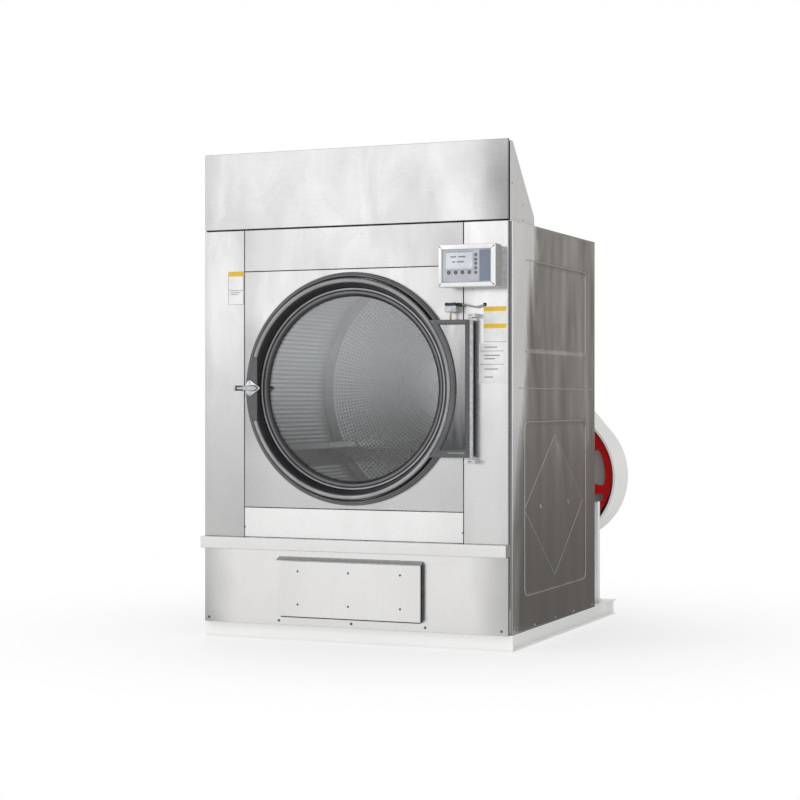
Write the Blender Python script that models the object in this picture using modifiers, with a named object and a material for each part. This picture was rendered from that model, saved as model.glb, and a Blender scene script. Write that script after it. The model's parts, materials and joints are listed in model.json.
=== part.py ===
"""Industrial tumble dryer: stainless cabinet, round glass door, lint drawer and a two-stage belt drive.

Lengths are metres and +Z is up.  Depths are measured back from the face of the front panels, and
DATUM_Y moves that face so that the machine stands centred on the origin.
"""
import math

import bmesh
import bpy
from mathutils import Matrix

NAME = "tumble_dryer"
GAP = 0.0003                     # air kept between neighbouring pieces

# Cabinet
HEIGHT = 2.250
FRONT_HALF = 0.750               # half width of the stainless front
BODY_HALF = 0.762                # half width over the side panels and the base frame
FRONT_STEP = 0.025               # how far the front stands proud of the side panels
SHEET = 0.003
CABINET_TOP = 1.894
CABINET_REAR = 1.268
SPLIT_X = 0.542                  # joint between the pilasters and the middle panels
UPPER_Z = 1.700
LOWER_Z = 0.611
LEDGE_Z = (0.419, 0.473)
LEDGE_FRONT = -0.038

# Base frame
BASE_H = 0.0745
BASE_REAR = 1.650
CHANNEL_WEB = 0.006
CHANNEL_FLANGE = 0.040

# Header over the cabinet
HOOD_FRONT = 0.020
HOOD_TOP_REAR = 0.050
HOOD_TOP_Z = 2.244
HOOD_REAR = 0.345
HOOD_REAR_Z = 1.933
HOOD_HALF = 0.755

# Lint drawer
DRAWER_X = (-0.348, 0.350)
DRAWER_Z = (0.119, 0.372)
DRAWER_FRONT = -0.036
TRAY_HALF = 0.320
TRAY_DEPTH = 0.400

# Door, drum mouth and hinge
DRUM_Z = 1.157                   # height of the drum and door centre
MOUTH_R = 0.470                  # opening in the door panel
RING_R = 0.5015                  # outer radius of the door ring
FRAME_R = (0.5035, 0.5275)       # fixed frame ring
GLASS_R = 0.4365
GLASS_Y = 0.0183
HINGE_X = 0.595
HINGE_Y = -0.045
PLATE_Z = (0.853, 1.459)         # hinge plate, bottom and top
PLATE_Y = (-0.058, -0.0265)
PLATE_ARC_R = 0.5025
BARREL_R = 0.0095
PIN_R = 0.005
LATCH_Z = 1.161
LATCH_Y = -0.064

# Door switch
SWITCH_X = (0.476, 0.529)
SWITCH_Z = (1.493, 1.522)
PLUNGER_X = 0.498
PLUNGER_Y = -0.042

# Control box
PANEL_X = (0.475, 0.7405)
PANEL_Z = (1.597, 1.782)
PANEL_DEPTH = 0.133
LID_REAR = -0.0583
WINDOW_X = (0.491, 0.718)
WINDOW_Z = (1.617, 1.760)
DISPLAY_Y = (-0.1275, -0.1235)
BUTTON_X = (0.523, 0.555, 0.586, 0.618)
BUTTON_Z = 1.660
BUTTON_R = 0.0088

# Drum and drive
DRUM_R = 0.660
DRUM_FRONT = 0.118
DRUM_REAR = 1.134
DRUM_MOUTH_R = 0.463
LIFTERS = 3
LIFTER_H = 0.110
SHAFT_R = 0.030
DRUM_PULLEY_R = 0.320
SECONDARY_Y = (1.672, 1.728)     # plane of the drum pulley
JACK_X = 0.405
JACK_Z = 0.714
JACK_R = 0.025
JACK_PULLEY_R = 0.060
WHEEL_R = 0.306
PRIMARY_Y = (1.762, 1.818)       # plane of the large spoked wheel
SPOKES = 6
SPOKE_ANGLE = math.radians(39)
MOTOR_X = 0.010
MOTOR_Z = 0.720
MOTOR_R = 0.085
MOTOR_PULLEY_R = 0.055
BELT_SLACK = 0.0015              # clearance between a belt and its pulleys
BELT_T = 0.008
GUARD_Y = (1.650, 1.900)
GUARD_LOW = ((0.405, 0.705), 0.352)
GUARD_HIGH = ((0.0, DRUM_Z), 0.365)
TABLE_Z = (0.584, 0.619)
TABLE_HALF = 0.695
POST_X = (0.600, 0.695)
POST_Y = (1.550, 1.586)

# Exhaust fan
FAN_X = -0.300
FAN_Z = 0.330
FAN_R = 0.220
FAN_Y = (1.285, 1.465)
FAN_INLET_R = 0.130
FAN_END_X = -0.740
FAN_DUCT_TOP = 0.270
FAN_FLANGE = 0.020
MOTOR_BORE_R = 0.0150

DATUM_Y = -(GUARD_Y[1] - PANEL_DEPTH) / 2

FINISHES = {                     # colour, roughness, metallic
    "stainless": ((0.78, 0.79, 0.80), 0.28, 1.0),
    "side_steel": ((0.42, 0.41, 0.40), 0.18, 1.0),
    "galvanised": ((0.55, 0.57, 0.58), 0.45, 1.0),
    "white_paint": ((0.84, 0.84, 0.83), 0.40, 0.0),
    "graphite": ((0.13, 0.135, 0.14), 0.34, 0.6),
    "chrome": ((0.86, 0.87, 0.88), 0.08, 1.0),
    "glass": ((0.90, 0.94, 0.94), 0.02, 0.0),
    "rubber": ((0.02, 0.02, 0.02), 0.70, 0.0),
    "red_paint": ((0.45, 0.012, 0.012), 0.35, 0.0),
    "dark_paint": ((0.07, 0.07, 0.075), 0.45, 0.0),
    "panel_plastic": ((0.50, 0.54, 0.60), 0.30, 0.0),
    "button_plastic": ((0.30, 0.31, 0.33), 0.30, 0.2),
    "black_plastic": ((0.03, 0.03, 0.03), 0.45, 0.0),
    "cable_grey": ((0.45, 0.45, 0.46), 0.50, 0.0),
    "brass": ((0.72, 0.50, 0.22), 0.25, 1.0),
    "motor_paint": ((0.10, 0.16, 0.24), 0.45, 0.1),
    "cast_iron": ((0.20, 0.21, 0.21), 0.55, 0.7),
    "copper_fins": ((0.60, 0.62, 0.64), 0.40, 1.0),
}

# Local axes of an outline or a profile, as columns: across, up and along.
AXES = {
    "X": Matrix(((0, 0, 1), (1, 0, 0), (0, 1, 0))).to_4x4(),
    "Y": Matrix(((1, 0, 0), (0, 0, -1), (0, 1, 0))).to_4x4(),
    "Z": Matrix.Identity(4),
}


def new_collection(name):
    collection = bpy.data.collections.new(name)
    bpy.context.scene.collection.children.link(collection)
    return collection


def finish(obj, kind):
    """Give an object its own Principled material."""
    colour, roughness, metallic = FINISHES[kind]
    material = bpy.data.materials.new(obj.name + "_" + kind)
    material.use_nodes = True
    shader = material.node_tree.nodes["Principled BSDF"]
    shader.inputs["Base Color"].default_value = (*colour, 1.0)
    shader.inputs["Roughness"].default_value = roughness
    shader.inputs["Metallic"].default_value = metallic
    obj.data.materials.append(material)


def place(obj, kind):
    """A part goes in the part collection with its finish, a tool without one among the cutters."""
    if kind is None:
        CUTTERS.objects.link(obj)
        obj.hide_render = True
        obj.display_type = "WIRE"
    else:
        PARTS.objects.link(obj)
        finish(obj, kind)


def add_mesh(name, bm, kind):
    mesh = bpy.data.meshes.new(name)
    bm.to_mesh(mesh)
    bm.free()
    obj = bpy.data.objects.new(name, mesh)
    place(obj, kind)
    return obj


def middle(span):
    return (span[0] + span[1]) / 2


def inset(span, amount):
    return (span[0] + amount, span[1] - amount)


def mirrored(span, side):
    """A span on the right, or its mirror image on the left for side -1."""
    return span if side > 0 else (-span[1], -span[0])


def box(name, x, y, z, kind=None, bevel=0.0):
    """A box between pairs of x, depth and z, with its edges chamfered if asked."""
    bm = bmesh.new()
    bmesh.ops.create_cube(bm, size=1.0)
    bmesh.ops.scale(bm, vec=(x[1] - x[0], y[1] - y[0], z[1] - z[0]), verts=bm.verts)
    obj = add_mesh(name, bm, kind)
    obj.location = (middle(x), middle(y) + DATUM_Y, middle(z))
    if bevel:
        modifier = obj.modifiers.new("edges", "BEVEL")
        modifier.width = bevel
        modifier.segments = 1
        modifier.limit_method = "ANGLE"
    return obj


def rod(name, radius, span, centre, axis, kind=None, steps=32):
    """A cylinder along an axis; centre gives its place across that axis."""
    bm = bmesh.new()
    bmesh.ops.create_cone(bm, cap_ends=True, segments=steps, radius1=radius, radius2=radius,
                          depth=span[1] - span[0])
    obj = add_mesh(name, bm, kind)
    across, up = centre
    places = {
        "X": (middle(span), across + DATUM_Y, up),
        "Y": (across, middle(span) + DATUM_Y, up),
        "Z": (across, up + DATUM_Y, middle(span)),
    }
    obj.matrix_world = Matrix.Translation(places[axis]) @ AXES[axis]
    obj.data.shade_smooth()
    obj.data.set_sharp_from_angle(angle=math.radians(40))
    return obj


def turned(name, profile, centre, kind=None, steps=56):
    """Turn (radius, depth) points about an axis along Y at centre, an (x, z) pair."""
    points = [(radius, -depth) for radius, depth in profile]
    ring = points[0][0] > 0
    following = points[1:] + points[:1]
    area = sum(a[0] * b[1] - b[0] * a[1] for a, b in zip(points, following))
    if area > 0:
        points.reverse()
    bm = bmesh.new()
    verts = [bm.verts.new((radius, 0.0, z)) for radius, z in points]
    for first, second in zip(verts, verts[1:]):
        bm.edges.new((first, second))
    if ring:
        bm.edges.new((verts[-1], verts[0]))
    obj = add_mesh(name, bm, kind)
    obj.matrix_world = Matrix.Translation((centre[0], DATUM_Y, centre[1])) @ AXES["Y"]
    screw = obj.modifiers.new("turn", "SCREW")
    screw.axis = "Z"
    screw.angle = math.tau
    screw.steps = steps
    screw.render_steps = steps
    screw.use_merge_vertices = True
    screw.merge_threshold = 0.00001
    screw.use_smooth_shade = True
    return obj


def extrusion(name, outlines, span, axis, kind=None):
    """A flat outline with holes, drawn across and up, made solid along an axis."""
    curve = bpy.data.curves.new(name + "_outline", "CURVE")
    curve.dimensions = "2D"
    curve.fill_mode = "BOTH"
    curve.extrude = (span[1] - span[0]) / 2
    for outline in outlines:
        spline = curve.splines.new("POLY")
        spline.points.add(len(outline) - 1)
        for point, (across, up) in zip(spline.points, outline):
            point.co = (across, up, 0.0, 1.0)
        spline.use_cyclic_u = True
    drawn = bpy.data.objects.new(name + "_outline", curve)
    CUTTERS.objects.link(drawn)
    places = {
        "X": (middle(span), DATUM_Y, 0.0),
        "Y": (0.0, middle(span) + DATUM_Y, 0.0),
        "Z": (0.0, DATUM_Y, middle(span)),
    }
    drawn.matrix_world = Matrix.Translation(places[axis]) @ AXES[axis]
    depsgraph = bpy.context.evaluated_depsgraph_get()
    mesh = bpy.data.meshes.new_from_object(drawn.evaluated_get(depsgraph))
    bm = bmesh.new()
    bm.from_mesh(mesh)
    bmesh.ops.remove_doubles(bm, verts=bm.verts, dist=0.00001)
    bmesh.ops.recalc_face_normals(bm, faces=bm.faces)
    bpy.data.meshes.remove(mesh)
    obj = add_mesh(name, bm, kind)
    obj.matrix_world = drawn.matrix_world
    bpy.data.objects.remove(drawn)
    return obj


def combine(target, operation, *tools):
    for tool in tools:
        modifier = target.modifiers.new(tool.name, "BOOLEAN")
        modifier.operation = operation
        modifier.solver = "EXACT"
        modifier.object = tool
    return target


def cut(target, *tools):
    return combine(target, "DIFFERENCE", *tools)


def unite(target, *tools):
    return combine(target, "UNION", *tools)


def arc(centre, radius, start, end, steps):
    """Points on an arc, both ends included; angles in radians."""
    points = []
    for index in range(steps + 1):
        angle = start + (end - start) * index / steps
        points.append((centre[0] + radius * math.cos(angle), centre[1] + radius * math.sin(angle)))
    return points


def circle(centre, radius, steps):
    return arc(centre, radius, 0.0, math.tau, steps)[:-1]


def rectangle(x, z):
    return [(x[0], z[0]), (x[1], z[0]), (x[1], z[1]), (x[0], z[1])]


def wrap(centre_a, radius_a, centre_b, radius_b, steps=24):
    """The loop drawn tight round two circles."""
    across = centre_b[0] - centre_a[0]
    up = centre_b[1] - centre_a[1]
    heading = math.atan2(up, across)
    spread = math.acos((radius_a - radius_b) / math.hypot(across, up))
    far = arc(centre_a, radius_a, heading + spread, heading + math.tau - spread, steps)
    near = arc(centre_b, radius_b, heading - spread, heading + spread, steps)
    return far + near


def pivot(name, location, children):
    """An empty on a joint's axis that carries the pieces that move there."""
    empty = bpy.data.objects.new(name, None)
    empty.location = (location[0], location[1] + DATUM_Y, location[2])
    PARTS.objects.link(empty)
    inverse = Matrix.Translation(-empty.location)
    for child in children:
        child.parent = empty
        child.matrix_parent_inverse = inverse
    return empty


def base_frame():
    """Rolled channels on the floor: the side ones face out, the front and rear ones face in."""
    t = CHANNEL_WEB
    front = FRONT_STEP
    back = front + CHANNEL_FLANGE
    web_back = front + t
    outline = [(front, 0), (back, 0), (back, t), (web_back, t), (web_back, BASE_H - t),
               (back, BASE_H - t), (back, BASE_H), (front, BASE_H)]
    extrusion("base_channel_front", [outline], (-BODY_HALF, BODY_HALF), "X", "white_paint")

    inner = BODY_HALF - CHANNEL_FLANGE
    rear_front = POST_Y[0] - 0.010
    web_front = BASE_REAR - t
    outline = [(rear_front, 0), (BASE_REAR, 0), (BASE_REAR, BASE_H), (rear_front, BASE_H),
               (rear_front, BASE_H - t), (web_front, BASE_H - t), (web_front, t), (rear_front, t)]
    extrusion("base_channel_rear", [outline], (-inner + GAP, inner - GAP), "X", "white_paint")

    for word, side in (("left", -1), ("right", 1)):
        web = inner + t
        outline = [(inner, 0), (BODY_HALF, 0), (BODY_HALF, t), (web, t), (web, BASE_H - t),
                   (BODY_HALF, BASE_H - t), (BODY_HALF, BASE_H), (inner, BASE_H)]
        outline = [(side * across, up) for across, up in outline]
        channel = extrusion("base_channel_" + word, [outline], (back + GAP, BASE_REAR), "Y",
                            "white_paint")
        rib = box("rib_" + word, mirrored((web - 0.001, BODY_HALF - 0.004), side),
                  (BASE_REAR - 0.036, BASE_REAR - 0.030), (t / 2, BASE_H - t / 2))
        unite(channel, rib)


def cabinet():
    """Side, rear and roof sheets, and the panels of the front."""
    inner = BODY_HALF - SHEET
    foot = BASE_H + GAP
    for word, side in (("left", -1), ("right", 1)):
        box("side_panel_" + word, mirrored((inner, BODY_HALF), side),
            (FRONT_STEP, CABINET_REAR), (foot, CABINET_TOP), "side_steel")
        outline = [(SPLIT_X + GAP, 0), (FRONT_HALF, 0), (FRONT_HALF, FRONT_STEP - GAP),
                   (FRONT_HALF - SHEET, FRONT_STEP - GAP), (FRONT_HALF - SHEET, SHEET),
                   (SPLIT_X + GAP, SHEET)]
        outline = [(side * across, depth) for across, depth in outline]
        extrusion("front_pilaster_" + word, [outline], (LEDGE_Z[1] + GAP, CABINET_TOP - GAP), "Z",
                  "stainless")

    rear = box("rear_panel", (-inner + GAP, inner - GAP), (CABINET_REAR - SHEET, CABINET_REAR),
               (foot, CABINET_TOP - SHEET - GAP), "galvanised")
    cut(rear, rod("shaft_hole", 0.100, (CABINET_REAR - 0.02, CABINET_REAR + 0.02), (0, DRUM_Z), "Y"),
        rod("air_hole", FAN_INLET_R + 0.005, (CABINET_REAR - 0.02, CABINET_REAR + 0.02),
            (FAN_X, FAN_Z), "Y"))
    roof = box("roof_panel", (-inner + GAP, inner - GAP), (FRONT_STEP, CABINET_REAR - SHEET - GAP),
               (CABINET_TOP - SHEET, CABINET_TOP), "side_steel")
    cut(roof, box("hot_air_port", (-0.62, 0.62), (0.060, 0.300), (CABINET_TOP - 0.02, CABINET_TOP + 0.02)))

    middle_x = (-SPLIT_X + GAP, SPLIT_X - GAP)
    skin = (0.0, SHEET)
    box("front_upper_panel", middle_x, skin, (UPPER_Z + GAP, CABINET_TOP - GAP), "stainless")
    box("front_lower_panel", middle_x, skin, (LEDGE_Z[1] + GAP, LOWER_Z - GAP), "stainless")
    extrusion("front_door_panel",
              [rectangle(middle_x, (LOWER_Z + GAP, UPPER_Z - GAP)), circle((0, DRUM_Z), MOUTH_R, 56)],
              skin, "Y", "stainless")

    ledge = box("ledge_bar", (-0.753, 0.753), (LEDGE_FRONT, FRONT_STEP - GAP), LEDGE_Z, "stainless")
    cut(ledge, box("ledge_hollow", (-0.750, 0.750), (LEDGE_FRONT + SHEET, FRONT_STEP + 0.01),
                   inset(LEDGE_Z, SHEET)))

    back = FRONT_STEP - GAP
    edge = FRONT_HALF - SHEET
    outline = [(-FRONT_HALF, 0), (FRONT_HALF, 0), (FRONT_HALF, back), (edge, back), (edge, SHEET),
               (-edge, SHEET), (-edge, back), (-FRONT_HALF, back)]
    plinth = extrusion("plinth_panel", [outline], (foot, LEDGE_Z[0] - GAP), "Z", "stainless")
    cut(plinth, box("drawer_opening", (-0.328, 0.330), (-0.02, 0.02), (0.136, 0.356)))


def header():
    """The fascia over the cabinet, the wedge hood behind it and the steam heater inside."""
    base = CABINET_TOP + GAP
    front = box("header_front_panel", (-FRONT_HALF, FRONT_HALF), (0, HOOD_FRONT - GAP), (base, HEIGHT),
                "stainless")
    cut(front, box("fascia_hollow", (-FRONT_HALF + SHEET, FRONT_HALF - SHEET), (SHEET, HOOD_FRONT + 0.01),
                   (base + SHEET, HEIGHT - SHEET)))

    outline = [(HOOD_FRONT, base), (HOOD_REAR, base), (HOOD_REAR, HOOD_REAR_Z),
               (HOOD_TOP_REAR, HOOD_TOP_Z), (HOOD_FRONT, HOOD_TOP_Z)]
    hood = extrusion("header_hood", [outline], (-HOOD_HALF, HOOD_HALF), "X", "side_steel")
    hollow = [(HOOD_FRONT - 0.01, base - 0.01), (HOOD_REAR - SHEET, base - 0.01),
              (HOOD_REAR - SHEET, HOOD_REAR_Z - 0.0015), (HOOD_TOP_REAR - 0.0015, HOOD_TOP_Z - SHEET),
              (HOOD_FRONT - 0.01, HOOD_TOP_Z - SHEET)]
    cut(hood, extrusion("hood_hollow", [hollow], (-HOOD_HALF + SHEET, HOOD_HALF - SHEET), "X"))

    heater = box("heater_coil", (-0.600, 0.600), (0.055, 0.190), (1.930, 2.020), "copper_fins")
    for index, x in enumerate((0.360, 0.500)):
        pipe = rod("steam_pipe_%d" % index, 0.017, (2.010, 2.226), (x, 0.130), "Z", steps=20)
        flange = rod("steam_flange_%d" % index, 0.040, (2.212, 2.226), (x, 0.130), "Z", steps=20)
        unite(heater, pipe, flange)
        cut(hood, rod("pipe_hole_%d" % index, 0.022, (2.100, 2.205), (x, 0.130), "Z", steps=20))


def lint_drawer():
    """The drawer front, a shallow pan with a sloping top strip, and the filter tray behind it."""
    front = box("lint_drawer_front", DRAWER_X, (DRAWER_FRONT, -0.001), DRAWER_Z, "stainless")
    strip = [(DRAWER_FRONT, DRAWER_Z[1] - 0.001), (-0.002, DRAWER_Z[1] - 0.001), (-0.002, 0.389),
             (DRAWER_FRONT, DRAWER_Z[1] + 0.001)]
    unite(front, extrusion("top_strip", [strip], (-0.362, DRAWER_X[1]), "X"))
    cut(front, box("pan_hollow", inset(DRAWER_X, SHEET), (DRAWER_FRONT + SHEET, 0.01),
                   inset(DRAWER_Z, SHEET)))
    tray_y = (DRAWER_FRONT + SHEET + GAP, TRAY_DEPTH)
    tray = box("lint_filter_tray", (-TRAY_HALF, TRAY_HALF), tray_y, (0.142, 0.300), "galvanised")
    cut(tray, box("tray_hollow", (-TRAY_HALF + 0.002, TRAY_HALF - 0.002), inset(tray_y, 0.002),
                  (0.144, 0.320)))
    pivot("lint_drawer_slide", (0, 0, 0.2), [front, tray])


def door():
    """The fixed frame ring, the glazed door with its hinge plate, latch and brackets."""
    centre = (0, DRUM_Z)
    low, high = FRAME_R
    turned("door_frame_ring",
           [(high, -GAP), (high, -0.014), (0.5200, -0.0235), (0.5110, -0.0250), (low, -0.0200), (low, -GAP)],
           centre, "graphite")
    ring = turned("door_ring",
                  [(RING_R, -0.010), (RING_R, -0.036), (0.4975, -0.0425), (0.4900, -0.0455),
                   (0.4820, -0.0435), (0.4770, -0.0380), (0.4585, 0.0020), (0.4500, 0.0010),
                   (0.4320, 0.0040), (0.4210, 0.0120), (0.4210, 0.0180), (0.4370, 0.0180),
                   (0.4370, 0.0320), (0.4640, 0.0320), (0.4640, -0.0100)],
                  centre, "graphite")
    gasket = turned("door_gasket", [(0.498, -0.0097), (0.476, -0.0097), (0.480, -0.0010), (0.494, -0.0010)],
                    centre, "rubber")
    glass = turned("door_glass", [(0, GLASS_Y), (GLASS_R, GLASS_Y), (GLASS_R, GLASS_Y + 0.008),
                                  (0, GLASS_Y + 0.008)], centre, "glass")

    chord = 0.452
    rim = 0.4735
    reach = math.acos(chord / rim)
    pull = extrusion("door_pull_plate", [arc(centre, rim, math.pi - reach, math.pi + reach, 12)],
                     (-0.0460, -0.0405), "Y", "graphite")

    plate = hinge_plate()
    latch = latch_parts()
    pivot("door_hinge_axis", (HINGE_X, HINGE_Y, DRUM_Z), [ring, gasket, glass, pull, plate, latch])

    pin = {"upper": (PLATE_Z[1] - 0.018, PLATE_Z[1] + 0.012), "lower": (PLATE_Z[0] - 0.012, PLATE_Z[0] + 0.018)}
    block = {"upper": (1.4665, 1.4865), "lower": (0.8270, 0.8455)}
    for word in ("upper", "lower"):
        z = block[word]
        bracket = box("hinge_bracket_" + word, (0.566, 0.602), (-0.012, -GAP), z, "chrome")
        unite(bracket, box("knuckle_" + word, (0.583, 0.618), (-0.0575, -0.001), inset(z, 0.0008)),
              rod("pin_" + word, PIN_R, pin[word], (HINGE_X, HINGE_Y), "Z", steps=20))


def hinge_plate():
    """A cast plate with a concave edge, a recessed field and a barrel for the hinge pins."""
    low = PLATE_Z[0] - DRUM_Z
    high = PLATE_Z[1] - DRUM_Z
    centre = (0, DRUM_Z)
    start = math.asin(high / PLATE_ARC_R)
    end = math.asin(low / PLATE_ARC_R)
    outline = arc(centre, PLATE_ARC_R, start, end, 20)
    outline += [(HINGE_X - 0.004, PLATE_Z[0]), (HINGE_X - 0.004, PLATE_Z[1])]
    plate = extrusion("door_hinge_plate", [outline], PLATE_Y, "Y", "graphite")
    unite(plate, rod("barrel", BARREL_R, PLATE_Z, (HINGE_X, HINGE_Y), "Z", steps=20))

    field_r = 0.526
    field_top = 1.441 - DRUM_Z
    field_low = 0.886 - DRUM_Z
    field = arc(centre, field_r, math.asin(field_top / field_r), math.asin(field_low / field_r), 16)
    field += [(0.573, 0.886), (0.573, 1.441)]
    cut(plate, extrusion("plate_field", [field], (PLATE_Y[0] - 0.01, PLATE_Y[0] + 0.007), "Y"))
    for word, z in (("upper", (PLATE_Z[1] - 0.021, PLATE_Z[1] + 0.01)),
                    ("lower", (PLATE_Z[0] - 0.01, PLATE_Z[0] + 0.021))):
        cut(plate, rod("pin_bore_" + word, PIN_R + 0.0006, z, (HINGE_X, HINGE_Y), "Z", steps=20))
    return plate


def latch_parts():
    """The latch casting with its barrel, the sprung plunger in it and the keeper on the pilaster."""
    outline = [(-0.510, LATCH_Z + 0.012), (-0.494, LATCH_Z + 0.036), (-0.482, LATCH_Z + 0.036),
               (-0.433, LATCH_Z), (-0.482, LATCH_Z - 0.036), (-0.494, LATCH_Z - 0.036),
               (-0.510, LATCH_Z - 0.012)]
    outline.reverse()
    body = extrusion("latch_body", [outline], (-0.0540, -0.0463), "Y", "chrome")
    unite(body, rod("latch_barrel", 0.0115, (-0.514, -0.456), (LATCH_Y, LATCH_Z), "X", steps=20))
    cut(body, rod("latch_bore", 0.0062, (-0.530, -0.468), (LATCH_Y, LATCH_Z), "X", steps=20))
    plunger = rod("latch_plunger", 0.0055, (-0.548, -0.481), (LATCH_Y, LATCH_Z), "X", "chrome", steps=20)
    pivot("latch_plunger_slide", (-0.515, LATCH_Y, LATCH_Z), [plunger])
    box("latch_keeper", (-0.561, -0.5515), (-0.074, -GAP), (LATCH_Z - 0.0125, LATCH_Z + 0.0125),
        "black_plastic")
    return body


def door_switch():
    """The door switch over the hinge plate, its plunger and its lead into the pilaster."""
    gland_z = 1.5258
    gland_y = -0.030
    body = box("door_switch_body", SWITCH_X, (-0.060, -GAP), SWITCH_Z, "galvanised")
    unite(body, box("switch_lid", inset(SWITCH_X, 0.001), (-0.059, -0.012), (SWITCH_Z[1] - 0.002, 1.533)),
          rod("switch_gland", 0.0080, (SWITCH_X[1] - 0.006, 0.548), (gland_y, gland_z), "X", steps=20))
    cut(body, rod("plunger_bore", 0.0047, (SWITCH_Z[0] - 0.004, SWITCH_Z[0] + 0.013),
                  (PLUNGER_X, PLUNGER_Y), "Z", steps=16))
    plunger = rod("door_switch_plunger", 0.0040, (PLATE_Z[1] + 0.0006, SWITCH_Z[0] + 0.008),
                  (PLUNGER_X, PLUNGER_Y), "Z", "brass", steps=16)
    pivot("door_switch_slide", (PLUNGER_X, PLUNGER_Y, SWITCH_Z[0]), [plunger])

    route = [(0.5484, gland_y, gland_z), (0.560, -0.0300, 1.5250), (0.575, -0.0292, 1.5205),
             (0.590, -0.0280, 1.5165), (0.603, -0.0262, 1.5148), (0.615, -0.0240, 1.5150),
             (0.626, -0.0215, 1.5172), (0.634, -0.0180, 1.5205), (0.6395, -0.0135, 1.5236),
             (0.6425, -0.0080, 1.5256), (0.6425, -0.0006, 1.5256)]
    curve = bpy.data.curves.new("door_switch_cable", "CURVE")
    curve.dimensions = "3D"
    curve.bevel_depth = 0.003
    curve.bevel_resolution = 2
    curve.use_fill_caps = True
    spline = curve.splines.new("POLY")
    spline.points.add(len(route) - 1)
    for point, (x, y, z) in zip(spline.points, route):
        point.co = (x, y + DATUM_Y, z, 1.0)
    cable = bpy.data.objects.new("door_switch_cable", curve)
    place(cable, "cable_grey")


def control_box():
    """The box on the front: body, framed lid, display plate and four push buttons."""
    body = box("control_box_body", inset(PANEL_X, 0.005), (-0.058, -GAP), inset(PANEL_Z, 0.005), "galvanised")
    cut(body, box("body_hollow", inset(PANEL_X, 0.008), (-0.070, -SHEET), inset(PANEL_Z, 0.008)))
    lid = box("control_box_lid", PANEL_X, (-PANEL_DEPTH, LID_REAR), PANEL_Z, "stainless", bevel=0.003)
    cut(lid, box("lid_hollow", inset(PANEL_X, 0.005), (-0.1280, LID_REAR + 0.01), inset(PANEL_Z, 0.005)),
        box("lid_window", WINDOW_X, (-PANEL_DEPTH - 0.01, -0.120), WINDOW_Z))
    plate_x = inset(WINDOW_X, -0.003)
    plate_z = inset(WINDOW_Z, -0.003)
    holes = [circle((x, BUTTON_Z), BUTTON_R + 0.0008, 20) for x in BUTTON_X]
    extrusion("control_display", [rectangle(plate_x, plate_z)] + holes, DISPLAY_Y, "Y", "panel_plastic")
    for number, x in enumerate(BUTTON_X, start=1):
        button = rod("control_button_%d" % number, BUTTON_R, (-0.1318, -0.1212), (x, BUTTON_Z), "Y",
                     "button_plastic", steps=20)
        pivot("control_button_%d_slide" % number, (x, -0.1318, BUTTON_Z), [button])


def drum():
    """The drum with its lifters, the shaft that carries it and the pulley on the shaft's end."""
    centre = (0, DRUM_Z)
    wall = 0.004
    inner = DRUM_R - wall
    front = 0.084
    lip = DRUM_FRONT - 0.018
    shell = turned("drum_shell",
                   [(DRUM_MOUTH_R, front), (0.470, lip), (DRUM_R, DRUM_FRONT), (DRUM_R, DRUM_REAR),
                    (SHAFT_R + 0.001, DRUM_REAR), (SHAFT_R + 0.001, DRUM_REAR - wall),
                    (inner, DRUM_REAR - wall), (inner, DRUM_FRONT + wall), (0.467, lip + wall),
                    (DRUM_MOUTH_R - wall, front)],
                   centre, "stainless")
    for index in range(LIFTERS):
        heading = math.radians(90) + math.tau * index / LIFTERS
        half = math.radians(5.0)
        top = DRUM_R - LIFTER_H
        outline = arc(centre, DRUM_R - wall * 0.6, heading - half, heading + half, 4)
        outline += arc(centre, top, heading + math.radians(1.6), heading - math.radians(1.6), 1)
        unite(shell, extrusion("lifter_%d" % index, [outline], (DRUM_FRONT + 0.03, DRUM_REAR - 0.02), "Y"))
    back = DRUM_REAR
    shaft = turned("drum_shaft",
                   [(0, back - 0.026), (0.055, back - 0.026), (0.055, back - wall - GAP),
                    (SHAFT_R, back - wall - GAP), (SHAFT_R, back + GAP), (0.140, back + GAP),
                    (0.140, back + 0.016), (0.060, back + 0.024), (0.045, back + 0.066),
                    (SHAFT_R, back + 0.076), (SHAFT_R, SECONDARY_Y[1] + 0.012), (0, SECONDARY_Y[1] + 0.012)],
                   centre, "galvanised", steps=32)
    near, far = SECONDARY_Y
    web = middle(SECONDARY_Y)
    bore = SHAFT_R + 0.0008
    pulley = turned("drum_pulley",
                    [(bore, near - 0.012), (0.062, near - 0.012), (0.062, web - 0.005), (0.292, web - 0.005),
                     (0.292, near), (DRUM_PULLEY_R, near), (DRUM_PULLEY_R, far), (0.292, far),
                     (0.292, web + 0.005), (0.062, web + 0.005), (0.062, far + 0.006), (bore, far + 0.006)],
                    centre, "cast_iron", steps=48)
    pivot("drum_axis", (0, DRUM_REAR, DRUM_Z), [shell, shaft, pulley])

    beam_y = CABINET_REAR + GAP
    outline = [(beam_y, DRUM_Z - 0.105), (beam_y + 0.062, DRUM_Z - 0.105), (beam_y + 0.062, DRUM_Z - 0.097),
               (beam_y + 0.008, DRUM_Z - 0.097), (beam_y + 0.008, DRUM_Z + 0.097),
               (beam_y + 0.062, DRUM_Z + 0.097), (beam_y + 0.062, DRUM_Z + 0.105), (beam_y, DRUM_Z + 0.105)]
    beam = extrusion("rear_bearing_beam", [outline], (-0.740, 0.740), "X", "white_paint")
    cut(beam, rod("beam_hole", 0.060, (beam_y - 0.01, beam_y + 0.02), centre, "Y"))
    seat = beam_y + 0.008 + GAP
    turned("drum_bearing_housing",
           [(bore, seat), (0.092, seat), (0.092, seat + 0.018), (0.066, seat + 0.026),
            (0.066, seat + 0.130), (bore, seat + 0.130)],
           centre, "cast_iron", steps=32)


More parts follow.
